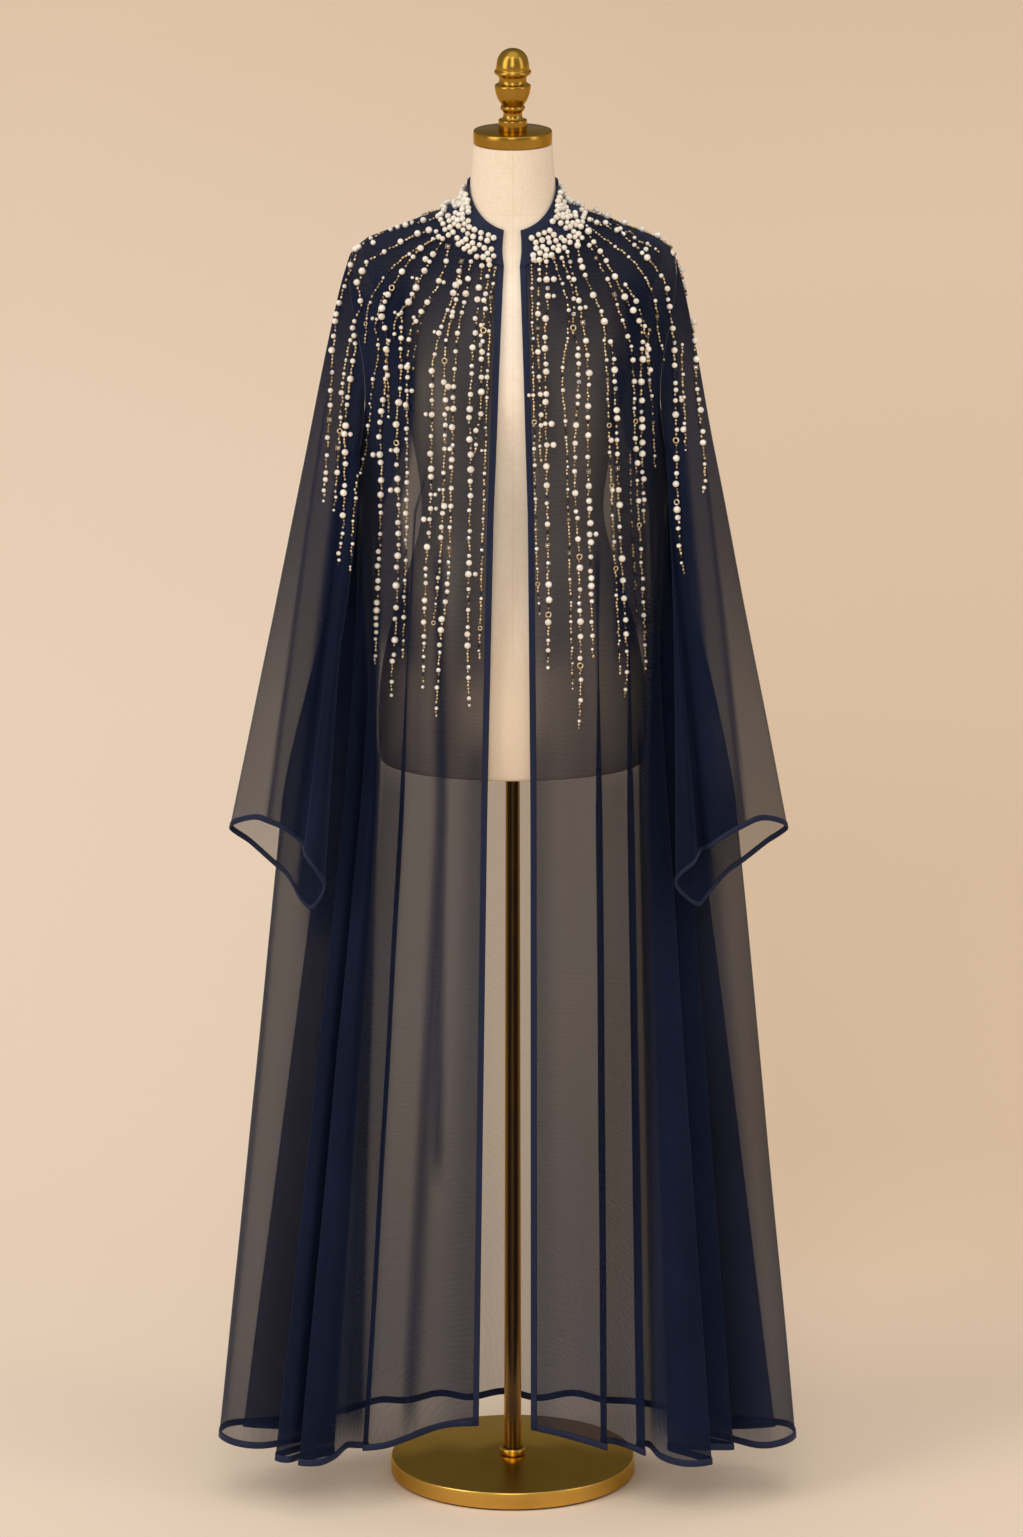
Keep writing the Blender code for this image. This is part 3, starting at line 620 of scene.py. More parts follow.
linenLook = {
    "pale": (0.97, 0.85, 0.71),
    "deep": (0.77, 0.61, 0.45),
    "neck seam": 1.4975,
    "seam": (0.0003, 0.0012),
    "painted shade up the neck": (1.42, 1.50, 0.62),      # painted shade, from one height to another, deeper by this much
    "painted shade down to the foot": (1.20, 0.92, 1.00),
}


def makeLinen():
    linen = Finish("cream_linen", Roughness=0.88, Specular_IOR_Level=0.2, Sheen_Weight=0.15,
                   Sheen_Roughness=0.6)
    parts = linen.add("SeparateXYZ", {0: linen.place}).outputs
    weave = linen.total(linen.noise(420.0, 1.0, stretch=(1.0, 1.0, 0.22)),
                        linen.noise(420.0, 1.0, stretch=(0.22, 0.22, 1.0)))
    # the seam down the middle and the one round the neck
    fromNeck = linen.math("SUBTRACT", parts[2], linenLook["neck seam"])
    seams = [linen.ramp(linen.math("ABSOLUTE", away), *linenLook["seam"], 1.0, 0.0)
             for away in (parts[0], fromNeck)]
    seams = linen.math("MAXIMUM", *seams)
    cloud = linen.noise(11.0, 3.0)
    tone = linen.total(linen.ramp(cloud, 0.3, 0.7, 0.0, 0.22), linen.ramp(weave, 0.7, 1.3, 0.0, 0.22),
                       linen.times(seams, 0.22))
    # painted shade: the linen turns darker up the neck and down towards the foot
    for place in ("painted shade up the neck", "painted shade down to the foot"):
        start, end, deeper = linenLook[place]
        tone = linen.total(tone, linen.ramp(parts[2], start, end, 0.0, deeper))
    linen.paint(linen.mix(tone, linenLook["pale"], linenLook["deep"]))
    linen.bump(linen.math("SUBTRACT", weave, linen.times(seams, 0.25)), 0.35, 0.0005)
    return linen.material


def makeRubber():
    rubber = Finish("rubber", Roughness=0.8)
    speckle = rubber.noise(500.0, 2.0)
    rubber.paint(rubber.mix(speckle, (0.012, 0.012, 0.012), (0.03, 0.03, 0.03)))
    rubber.bump(speckle, 0.2, 0.0004)
    return rubber.material


# painted light and shade: a little lighter on the left and in front, darker far back, and a painted
# shadow behind the stand on the right
def makeFloor():
    floor = Finish("pale_floor", Roughness=0.95, Specular_IOR_Level=0.05)
    cloud = floor.noise(0.35, 3.0)
    x, y, _ = floor.add("SeparateXYZ", {0: floor.place}).outputs
    # where the painted shadow falls, behind the stand
    near = floor.times(floor.ramp(y, 0.1, 1.3, 0.15, 1.0), floor.ramp(y, 7.0, 2.6, 0.15, 1.0))
    tone = floor.total(
        floor.times(floor.ramp(x, -0.05, 0.36, 0.0, -0.46), near), 0.75,
        floor.ramp(x, -0.9, 0.1, 0.10, 0.0), floor.ramp(y, 3.5, 10.0, 0.0, -0.36),
        floor.ramp(y, -0.6, 0.9, 0.20, 0.0), floor.ramp(cloud, 0.0, 1.0, -0.05, 0.05))
    floor.paint(floor.mix(tone, (0.660, 0.450, 0.280), (0.885, 0.715, 0.565)))
    return floor.material


chiffon = makeChiffon("navy_chiffon")
tape = makeTape("navy_binding", (0.0055, 0.0095, 0.031), (0.0085, 0.0145, 0.043))
collarCloth = makeTape("navy_collar_cloth", (0.007, 0.010, 0.028), (0.011, 0.016, 0.042))
pearl = makePearl()
goldSeed = makeSeed("gold_seed_bead", (0.52, 0.37, 0.19), (0.86, 0.70, 0.46), 0.30)
bronzeSeed = makeSeed("bronze_seed_bead", (0.20, 0.145, 0.09), (0.46, 0.33, 0.20), 0.30)
inkSeed = makeSeed("ink_seed_bead", (0.010, 0.012, 0.02), (0.035, 0.04, 0.06), 0.28)
crystal = makeSeed("crystal_bead", (0.55, 0.53, 0.5), (0.85, 0.84, 0.82), 0.12)
brass = makeBrass("brass", (0.66, 0.405, 0.088), (0.52, 0.300, 0.056), 0.25)
agedBrass = makeBrass("aged_brass", (0.42, 0.235, 0.038), (0.28, 0.150, 0.022), 0.20)
# the pole's dark brass, lighter at its edges as a painted reflection
darkBrass = makeBrass("dark_brass", (0.075, 0.045, 0.022), (0.036, 0.026, 0.020), 0.26,
                      rim=(0.42, 0.25, 0.075))
linen = makeLinen()
rubber = makeRubber()
print("finishes made")

# the dress form
stand = {
    "turn steps": 72,
    "pad radius": 0.138, "pad height": 0.0017, "pad round": 0.0008,
    "disc radius": 0.141, "disc foot": 0.0020, "disc top": 0.0220,
    "pole foot radius": 0.0100, "pole top radius": 0.0080,
    "ring radius": 0.0150, "ring height": 0.0085,
    "torso bottom": 0.855, "torso top": 1.5688, "torso rows": 120, "torso columns": 96,
    "cap radius": 0.0442, "cap height": 0.0150,
    "gap": 0.0003,
    "disc edge": 0.0018, "edge": 0.0016,     # how far the brass edges are rounded
}
# radius and height over the cap; each run is one smooth curve with a corner after it
finialRuns = [
    [(0.0158, 0.0000), (0.0160, 0.0010), (0.0160, 0.0104), (0.0155, 0.0116)],
    [(0.0130, 0.0122), (0.0112, 0.0142), (0.0106, 0.0172), (0.0107, 0.0198), (0.0116, 0.0218)],
    [(0.0131, 0.0228), (0.0137, 0.0240), (0.0138, 0.0256), (0.0132, 0.0270)],
    [(0.0122, 0.0278), (0.0136, 0.0300), (0.0165, 0.0347), (0.0186, 0.0402), (0.0199, 0.0460),
     (0.0203, 0.0488), (0.0201, 0.0508)],
    [(0.0184, 0.0518), (0.0162, 0.0533), (0.0154, 0.0556), (0.0155, 0.0586), (0.0170, 0.0616)],
    [(0.0196, 0.0632), (0.0206, 0.0646), (0.0207, 0.0662), (0.0200, 0.0676)],
    [(0.0186, 0.0686), (0.0185, 0.0720), (0.0179, 0.0768), (0.0165, 0.0818), (0.0138, 0.0863),
     (0.0098, 0.0898), (0.0052, 0.0918), (0.0, 0.0924)],
]


# turns a profile of radius and height pairs round the pole's axis
def turnedPiece(name, profile, foot, material, slot, bevel=0.0, angle=40.0):
    bm = bmesh.new()
    verts = [bm.verts.new((radius, 0.0, foot + height)) for radius, height in profile]
    edges = [bm.edges.new(pair) for pair in zip(verts, verts[1:])]
    bmesh.ops.spin(bm, geom=verts + edges, cent=(0, 0, 0), axis=(0, 0, 1),
                   angle=2 * math.pi, steps=stand["turn steps"], use_merge=True)
    bmesh.ops.remove_doubles(bm, verts=bm.verts[:], dist=0.00002)
    bmesh.ops.recalc_face_normals(bm, faces=bm.faces[:])
    if bevel:
        sharp = [edge for edge in bm.edges if edge.calc_face_angle(0.0) > math.radians(50)]
        bmesh.ops.bevel(bm, geom=sharp, offset=bevel, affect="EDGES", segments=3, profile=0.5,
                        material=-1, offset_type="OFFSET", clamp_overlap=True)
    newPiece(name + "_finish", bm, [material], slot, [name], smoothAngle=angle)


def smoothRun(run):
    points = [Vector((*pair, 0.0)) for pair in [run[0]] + run + [run[-1]]]
    return [(point.x, point.y) for point in smoothLine(points, 4)]


def buildStand():
    gap, discTop, edge = stand["gap"], stand["disc top"], stand["edge"]
    pad, thin, edgeIn = stand["pad radius"], stand["pad height"], stand["pad round"]
    turnedPiece("base_pad", [(0, 0), (pad - edgeIn, 0), (pad, 0.0006), (pad, thin), (0, thin)],
                0.0, rubber, "rubber_pad")
    disc, thick = stand["disc radius"], discTop - stand["disc foot"]
    turnedPiece("base_disc", [(0, 0), (disc, 0), (disc, thick), (0, thick)],
                stand["disc foot"], brass, "brass", bevel=stand["disc edge"])
    foot = discTop + gap
    low, high = stand["pole foot radius"], stand["pole top radius"]
    height = stand["torso bottom"] - gap - foot
    pole = [(0, 0)] + [(low + (high - low) * step / 8, height * step / 8) for step in range(9)]
    turnedPiece("pole", pole + [(0, height)], foot, darkBrass, "dark_brass")
    bore, ring, tall = low + gap, stand["ring radius"], stand["ring height"]
    turnedPiece("pole_collar", [(bore, 0), (ring, 0), (ring, tall), (bore, tall), (bore, 0)],
                foot, brass, "brass", bevel=edge)
    capFoot = stand["torso top"] + gap
    cap, capHigh = stand["cap radius"], stand["cap height"]
    turnedPiece("neck_cap", [(0, 0), (cap, 0), (cap, capHigh), (0, capHigh)],
                capFoot, agedBrass, "brass", bevel=edge)
    profile = [(0.0, 0.0)]
    for run in finialRuns:
        profile += smoothRun(run)
    turnedPiece("finial", profile, capFoot + capHigh + gap, agedBrass, "brass", angle=60.0)


def buildTorso():
    steps, rows, bottom = stand["torso columns"], stand["torso rows"], stand["torso bottom"]
    heights = [bottom + (stand["torso top"] - bottom) * row / rows for row in range(rows + 1)]
    # the foot turns in over a few millimetres
    rim = [(bottom, 0.80), (bottom, 0.955), (bottom + 0.0006, 0.985), (bottom + 0.0025, 0.997)]
    levels = rim + [(z, 1.0) for z in heights if z > bottom + 0.005]
    points = []
    for z, scale in reversed(levels):
        width, front, back = sectionAt(torsoSections, z)
        line = []
        for step in range(steps):
            turn = 2 * math.pi * step / steps
            depth = back if math.sin(turn) > 0 else front
            line.append(Vector((width * math.cos(turn), depth * math.sin(turn), 0)) * scale)
            line[-1].z = z
        points.append(line)
    bm = gridOnPoints(points, closed=True)
    bmesh.ops.edgeloop_fill(bm, edges=[edge for edge in bm.edges if edge.is_boundary])
    bmesh.ops.recalc_face_normals(bm, faces=bm.faces[:])
    newPiece("torso_cover", bm, [linen], "form_linen", ["torso"], smoothAngle=50.0)


buildStand()
buildTorso()
print("dress form made")

# cloth
edging = {
    "front width": 0.0070,
    "hem width": 0.0056,
    "thickness": 0.0018,
    "cloth under it": 0.0050,
    "hem under it": 0.0012,
}
sleeve = {
    "length": 0.62,
    "rows": 84,
    "fall": 1.2,
    "bow peak": 0.45,
    "forward": 1.5,
    "puff": 0.0030,
    "seam": 0.0004,
    "inner turn": 84.0,          # where the body lies beside the armhole, in degrees round it
    "cuff bare": 0.8,            # share of the cuff's tape that the cloth leaves bare
    "ripple": 0.0009,
}
collar = {
    "half width": 0.0500,
    "opening turn": 4.3,
    "front height": 1.481,
    "side height": 1.527,
    "wall": 0.0020,
    "rim": 0.0006,
    "columns": 150,
    "rows": 16,
}
panelRipple = 0.0007

frontGathers = rowsOf(
    Crease, (0.75, 0.05, 1.482, 1.3, 4, 2), (1.25, 0.15, 1.48, 1.33, 3.6, 1.7),
    (1.85, 0.1, 1.484, 1.27, 4.6, 2.4), (2.4, 0.2, 1.478, 1.35, 3.4, 1.7),
    (3.05, 0.1, 1.486, 1.29, 4.4, 2.5), (3.9, 0.3, 1.48, 1.34, 3.8, 2),
    (5.1, 0.2, 1.486, 1.26, 4.8, 2.5), (6.2, 0.2, 1.478, 1.36, 3.6, 1.9),
    (7.3, 0.3, 1.484, 1.32, 4.4, 2.2), (8.7, 0.3, 1.48, 1.37, 4, 1.9),
    (10.6, 0.4, 1.484, 1.34, 4.6, 2.2), (12.8, 0.4, 1.478, 1.38, 4.2, 1.7))
rightCreases = frontGathers + rowsOf(
    Crease, (0.55, 0.25, 1.21, 0.42, 9, 1.8), (1.35, 0.4, 1.08, 0.085, 11, 2.6),
    (2.15, -0.2, 0.99, 0.3, 8, -1.8), (2.7, 0.25, 1.15, 0.075, 9, 2.4), (3.45, 0.1, 1.24, 0.6, 7, 1.8),
    (6.6, -0.2, 1.1, 0.2, 6, 1.8), (7.55, 0.2, 0.95, 0.075, 7, -1.8), (8.6, 0.2, 1.18, 0.5, 6, 1.6),
    (12.5, 0.2, 0.9, 0.12, 6, -1.5), (17.6, 0.2, 0.78, 0.075, 7, 1.8), (19.6, -0.3, 0.7, 0.16, 9, 2),
    (20.6, 0.2, 0.62, 0.08, 9, -1.8))
leftCreases = frontGathers + rowsOf(
    Crease, (0.5, 0.2, 1.12, 0.36, 8, 1.6), (1.3, 0.35, 1.02, 0.085, 10, 2.4),
    (1.8, -0.1, 1.19, 0.5, 8, -1.5), (2.5, 0.2, 0.92, 0.08, 7, 1.8), (5.6, 0.25, 1.14, 0.24, 7, 2.2),
    (6.55, -0.2, 0.98, 0.09, 7, -1.8), (9.5, 0.25, 1.17, 0.48, 7, 1.8), (10.5, 0.1, 0.82, 0.09, 8, 1.8),
    (14.5, 0.2, 0.88, 0.14, 6, -1.5), (18.6, 0.2, 0.74, 0.08, 7, 1.6), (20.5, -0.25, 0.68, 0.18, 9, 2),
    (21.5, 0.2, 0.6, 0.075, 9, -1.6))
backCreases = rowsOf(
    Crease, (8.6, -0.2, 1.48, 1.3, 4.6, 1.2), (9.4, -0.1, 1.47, 1.26, 5, 1.4),
    (10.3, -0.1, 1.482, 1.31, 4.4, 1.1), (11.2, 0, 1.476, 1.24, 5.4, 1.5),
    (12.1, 0.1, 1.48, 1.29, 4.8, 1.2), (12.9, 0.1, 1.474, 1.27, 5, 1.4),
    (13.8, 0.2, 1.482, 1.32, 4.4, 1.1), (14.7, 0.2, 1.476, 1.28, 4.8, 1.3),
    (8.2, -0.2, 1.12, 0.3, 11, 2.4), (9.7, 0.2, 1.06, 0.07, 12, 3), (10.8, -0.2, 1.18, 0.38, 10, -2.2),
    (11.6, 0.2, 0.98, 0.065, 12, 2.6), (12.6, 0.1, 1.14, 0.26, 11, 2.6),
    (13.6, -0.2, 1.02, 0.07, 10, -2.4), (14.6, 0.2, 1.16, 0.42, 11, 2.4),
    (15.7, -0.1, 0.94, 0.08, 12, 2.8), (2.6, 0.1, 0.8, 0.08, 9, 2), (21.5, -0.1, 0.76, 0.09, 9, 2))
sleeveCreases = rowsOf(
    Crease, (0.55, 0.1, 1.4, 0.98, 7, 1.8), (1.45, 0.2, 1.3, 0.83, 8, 2.4),
    (2.4, -0.2, 1.36, 1, 7, -1.8), (3.3, 0.3, 1.22, 0.8, 7, 2), (8.4, 0.2, 1.18, 0.76, 7, 2),
    (10.4, -0.2, 1.33, 0.86, 8, 2.4), (11.6, 0.2, 1.24, 0.79, 8, -2), (12.6, 0.2, 1.38, 0.9, 8, 2.2),
    (8.5, 0, 1.25, 1.05, 12, 4))
underarmFold = [Crease(7, 0, 1.28, 1.06, 24, 6.5)]    # where the right sleeve meets the side

# how much one layer hides of what is behind it, from the top down
frontCover = [(1.50, 0.90), (1.44, 0.88), (1.37, 0.77), (1.28, 0.65), (1.15, 0.64), (0.95, 0.65),
              (0.84, 0.70), (0.60, 0.71), (0.40, 0.74), (0.20, 0.76), (0.07, 0.71)]
backCover = [(1.50, 0.88), (1.40, 0.76), (1.25, 0.68), (0.95, 0.62), (0.82, 0.50), (0.07, 0.46)]
sleeveCover = [(1.46, 0.92), (1.38, 0.88), (1.28, 0.77), (1.12, 0.71), (0.95, 0.60), (0.72, 0.54)]
# near-full cover under the arms and beside the sleeves is partly folds and partly painted shade
rightLayers = rowsOf(
    Layer, (-1, 2.4, 0.8, 0, 1.44, 1.14, 0.76), (7.2, 10.6, 0.9, -5.5, 1.33, 1.06, 0.5),
    (-1, 1.2, 0.6, 0, 1.4, 0.98, 0.79), (-1, 0.8, 0.6, 0, 0.9, 0.07, 0.84),
    (1.85, 2.25, 0.2, -0.6, 0.92, 0.4, 0.93), (1.75, 2.25, 0.25, 0, 1.12, 0.1, 0.93),
    (3.7, 7.2, 0.35, 0, 0.86, 0.08, 0.84), (3.85, 4.3, 0.2, 0, 1.2, 0.08, 0.93),
    (9, 14, 0.6, -5.6, 1.32, 1, 0.9), (9, 12.2, 0.4, 0, 1.34, 1, 0.975),
    (8.4, 12.2, 0.4, 0, 1.06, 0.84, 0.975), (7.6, 11.9, 0.3, -2.1, 0.9, 0.09, 0.975),
    (9, 11.7, 0.3, 0, 0.9, 0.09, 0.975), (13.4, 16.6, 0.3, 0, 0.98, 0.09, 0.96),
    (17, 19.2, 0.4, 0, 0.95, 0.66, 0.95), (11.6, 23.5, 0.8, 0, 1.42, 0.88, 0.985),
    (19.4, 25, 0.5, 0, 0.92, 0, 0.62), (20.6, 21, 0.2, 0, 0.92, 0.1, 0.84))
leftLayers = rowsOf(
    Layer, (-1, 1.6, 0.8, 0, 1.44, 1, 0.77), (-1, 0.6, 0.5, 0, 0.9, 0.07, 0.8),
    (2.9, 3.9, 0.2, 0, 1.12, 0.08, 0.93), (3.9, 6.6, 0.5, 0, 0.86, 0.08, 0.79),
    (6.75, 7.3, 0.2, 0, 1.05, 0.08, 0.93), (7.2, 9.2, 0.4, 0, 0.86, 0.08, 0.86),
    (9.6, 15, 0.6, -4.5, 1.31, 1.14, 0.93), (5.7, 11, 0.5, 0, 1.16, 1.01, 0.94),
    (11, 14.4, 0.4, 0, 1.34, 1, 0.975), (10, 14.4, 0.4, 0, 1.06, 0.84, 0.975),
    (9.2, 13.6, 0.3, 0, 0.9, 0.09, 0.975), (14.6, 17.2, 0.3, 0, 0.98, 0.09, 0.96),
    (13.6, 24.5, 0.8, 0, 1.42, 0.88, 0.985), (17.6, 20.4, 0.4, 0, 0.9, 0.1, 0.86),
    (20.6, 25, 0.4, 0, 0.92, 0, 0.64))
backLayers = rowsOf(
    Layer, (-1, 2.6, 0.8, 0, 1.42, 0.88, 0.95), (21.4, 25, 0.8, 0, 1.42, 0.88, 0.95),
    (-1, 7.4, 0.8, 0, 0.9, 0.05, 0.62), (16.6, 25, 0.8, 0, 0.9, 0.05, 0.64))
rightSleeveLayers = rowsOf(
    Layer, (1.3, 9.6, 0.12, 0.7, 1.3, 0.74, 0.8), (2.6, 9.6, 0.25, 1, 1.46, 0.62, 0.975),
    (1.15, 1.45, 0.12, 0.7, 1.3, 0.74, 0.93))
leftSleeveLayers = rowsOf(
    Layer, (1.3, 9.6, 0.12, 0.7, 1.3, 0.74, 0.82), (2.4, 9.6, 0.25, 0.7, 1.46, 0.62, 0.975),
    (1.15, 1.45, 0.12, 0.7, 1.3, 0.74, 0.93), (2.1, 9.6, 0.25, 0, 0.86, 0.6, 0.96))


# a sewn-on tape over a grid of points
def buildTape(name, points, closed, flip):
    piece = newPiece(name + "_tape", gridOnPoints(points, closed, flip), [tape], "binding", [name])
    giveWall(piece, edging["thickness"])
    return piece


def sewCloth(name, points, closed, flip, covers, tapes):
    cloth = newPiece(name + "_cloth", gridOnPoints(points, closed, flip, covers), [chiffon],
                     "sheer_cloth", [name])
    trims = [buildTape(name + place, grid, closed, flip) for place, grid in tapes]
    return [cloth] + trims


def buildPanel(name, folds, isFront, side, creases, layers):
    def linesAt(rows):
        lines = [bodyLine(folds, row, not isFront, side) for row in rows]
        return [cutStart(line, edging["cloth under it"]) for line in lines] if isFront else lines

    flip = side != 1
    hemTop = 3.0 - hemShare(edging["hem width"])
    lastRow = 3.0 - hemShare(edging["hem width"] - edging["hem under it"])
    points = addCreases(linesAt(fineRows(lastRow)), creases, panelRipple, flip=flip)
    covers = clothCovers(points, frontCover if isFront else backCover, layers)
    hem = linesAt((hemTop, (hemTop * 2 + 3) / 3, (hemTop + 6) / 3, 3.0))
    tapes = [("_hem", hem)]
    if isFront:
        strip = []
        for row in fineRows(3.0):
            edge, following = bodyLine(folds, row, False, side)[:2]
            inward = (following - edge).normalized() * edging["front width"]
            strip.append([edge + inward * share for share in (0.0, 0.14, 0.5, 0.8, 1.0)])
        tapes.append(("_binding", strip))
    return sewCloth(name, points, False, flip, covers, tapes)


def buildSleeve(name, folds, side, creases, layers):
    cuffShare = edging["hem width"] / sleeve["length"]
    last = 1.0 - cuffShare * sleeve["cuff bare"]
    shares = [last * row / sleeve["rows"] for row in range(sleeve["rows"] + 1)]
    flip = side == 1
    points = [sleeveRow(folds, share, side) for share in shares]
    points = addCreases(points, creases, sleeve["ripple"], closed=True, flip=flip)
    covers = clothCovers(points, sleeveCover, layers)
    cuff = [sleeveRow(folds, 1.0 - cuffShare * share, side) for share in (1.0, 0.66, 0.33, 0.0)]
    return sewCloth(name, points, True, flip, covers, [("_cuff", cuff)])


def collarPoint(angle, share):
    isBack = abs(angle) > math.pi / 2
    turn = math.pi - abs(angle) if isBack else abs(angle)
    ratio, low = neckEdge(turn, isBack)
    topTurn, high = turn, collar["side height"]
    if not isBack:
        topTurn += math.radians(collar["opening turn"]) * math.cos(turn)
        high -= (high - collar["front height"]) * (1 - (1 - math.cos(turn)) ** garment["neck rise"])
    topRatio = collar["half width"] * math.sin(topTurn) / sectionAt(garmentSections, high)[0]
    mixed = ratio + (min(topRatio, 1.0) - ratio) * share
    return onGarment(math.copysign(mixed, angle), low + (high - low) * share, isBack)


def collarPlace(along, share):
    start = -math.radians(rightFrontFolds[0].chest)
    sweep = 2 * math.pi + start - math.radians(leftFrontFolds[0].chest)
    angle = start - sweep * along
    return collarPoint(angle + 2 * math.pi if angle < -math.pi else angle, share)


def buildCollar():
    columns, rows = collar["columns"], collar["rows"]
    points = [[collarPlace(step / columns, 1.0 - row / rows) for step in range(columns + 1)]
              for row in range(rows + 1)]
    piece = newPiece("collar_cloth", gridOnPoints(points, flip=True), [collarCloth],
                     "pearled_collar", ["collar_band"])
    giveWall(piece, collar["wall"])
    rim = piece.modifiers.new("rim", "BEVEL")
    rim.width, rim.segments, rim.limit_method = collar["rim"], 2, "ANGLE"
    rim.angle_limit = math.radians(60)


clothPieces = (
    buildPanel("right_front", rightFrontFolds, True, -1, rightCreases, rightLayers)
    + buildPanel("left_front", leftFrontFolds, True, 1, leftCreases, leftLayers)
    + buildPanel("back", backFolds, False, 0, backCreases, backLayers)
    + buildSleeve("right_sleeve", rightSleeveFolds, -1, sleeveCreases + underarmFold,
                  rightSleeveLayers)
    + buildSleeve("left_sleeve", leftSleeveFolds, 1, sleeveCreases, leftSleeveLayers))
buildCollar()
print("cloth made")

# beads
beadLook = {
    "collar pearl": (0.0031, 0.0038),    # smallest and largest radius
    "collar pitch": 0.0070,
    "collar row": 0.0065,
    "left out": 0.07,
    "plain strip": 0.0100,               # left bare along the collar's top and front ends
    "seed radius": (0.00125, 0.00170),
    "seed length": 1.45,                 # times its width, along the string
    "seed pitch": 0.0038,
    "taper": 0.14,                       # share of a string at its foot where the pearls shrink
    "foot size": 0.55,                   # the least that they shrink to
    "trim radius": (0.0022, 0.0030),
    "pair gap": 0.0002,
    "step": 0.0005,                      # the string is walked in steps of this length
    "sway": 0.0007,
    "lift": 0.8,                         # height of a bead's middle over the cloth, in radii
    "far layer": 0.04,                   # cloth further than this past the pole isn't sewn on
    "first row": 0.0018,                 # the collar's lowest pearls, over its foot
    "collar wander": 0.0013,
    "end wander": 0.0008,
    "collar spread": (0.90, 1.22),       # times the pitch
    "collar lift": (0.72, 0.95),
}
# of each kind of string: its pearls' radius, how many seeds lie between two, how often a
# second pearl sits beside one, how often a trim takes a pearl's place, and how gold it is
Rhythm = namedtuple("Rhythm", "small large fewest most beside trim gold")
rhythms = {
    "pearls": Rhythm(0.0025, 0.0043, 0, 4, 0.16, 0.09, 0.62),
    "mixed": Rhythm(0.0021, 0.0036, 1, 5, 0.12, 0.15, 0.58),
    "chain": Rhythm(0.0016, 0.0026, 3, 8, 0.06, 0.18, 0.55),
    "ink": Rhythm(0.0011, 0.0015, 2, 4, 0.0, 0.0, 0.0),
    "silver": Rhythm(0.0020, 0.0036, 0, 1, 0.0, 0.75, 0.3),
}
# strings of beads by x and z in millimetres, as they show on the cloth from the front
Strand = namedtuple("Strand", "kind points")
rightStrands = rowsOf(
    Strand,
    ("pearls", [(-82, 1504), (-138, 1488), (-155, 1481), (-167, 1472), (-176, 1454), (-191, 1411),
     (-198, 1366), (-212, 1178)]),
    ("pearls", [(-92, 1488), (-112, 1481), (-157, 1457), (-161, 1452), (-167, 1441), (-171, 1426),
     (-168, 1406), (-176, 1383), (-175, 1357), (-181, 1322), (-188, 1260), (-189, 1160), (-196, 1104)]),
    ("mixed", [(-180, 1365), (-188, 1320), (-200, 1170)]),
    ("chain", [(-142, 1418), (-146, 1408), (-152, 1382), (-149, 1352), (-156, 1310), (-160, 1265),
     (-168, 1219), (-176, 1202), (-183, 1102)]),
    ("chain", [(-88, 1479), (-125, 1455), (-151, 1424), (-158, 1409), (-161, 1396), (-164, 1360)]),
    ("pearls", [(-82, 1482), (-93, 1476), (-110, 1461), (-130, 1431), (-144, 1401), (-144, 1386),
     (-140, 1373), (-142, 1308), (-147, 1258), (-146, 1190), (-154, 992)]),
    ("pearls", [(-77, 1479), (-103, 1435), (-111, 1413), (-119, 1404), (-123, 1392), (-125, 1306),
     (-128, 1288), (-129, 1242), (-127, 1165), (-128, 1113), (-132, 1018), (-135, 992), (-136, 953)]),
    ("mixed", [(-72, 1471), (-74, 1454), (-80, 1437), (-85, 1423), (-94, 1410), (-103, 1392),
     (-116, 1355), (-118, 1159), (-123, 1001)]),
    ("pearls", [(-59, 1443), (-66, 1413), (-74, 1395), (-86, 1350), (-89, 1325), (-92, 1159),
     (-96, 1118), (-101, 965)]),
    ("mixed", [(-56, 1454), (-63, 1411), (-75, 1354), (-75, 1263), (-81, 1113), (-89, 1039)]),
    ("pearls", [(-47, 1454), (-51, 1422), (-63, 1352), (-71, 1119), (-75, 1061), (-80, 1032),
     (-86, 931)]),
    ("pearls", [(-33, 1458), (-44, 1354), (-48, 1276), (-47, 1225), (-50, 1032), (-49, 941)]),
    ("pearls", [(-26, 1450), (-34, 1364), (-36, 1279), (-40, 1265), (-42, 1237)]),
    ("chain", [(-19, 1447), (-23, 1419), (-26, 1377), (-38, 998)]),
    ("mixed", [(-107, 1435), (-113, 1412), (-120, 1404), (-130, 1387), (-132, 1367), (-139, 1359),
     (-138, 1291), (-137, 1275)]),
    ("ink", [(-88, 1420), (-99, 1395), (-108, 1360), (-110, 1330)]),
    ("silver", [(-35, 1382), (-35, 1340)]))
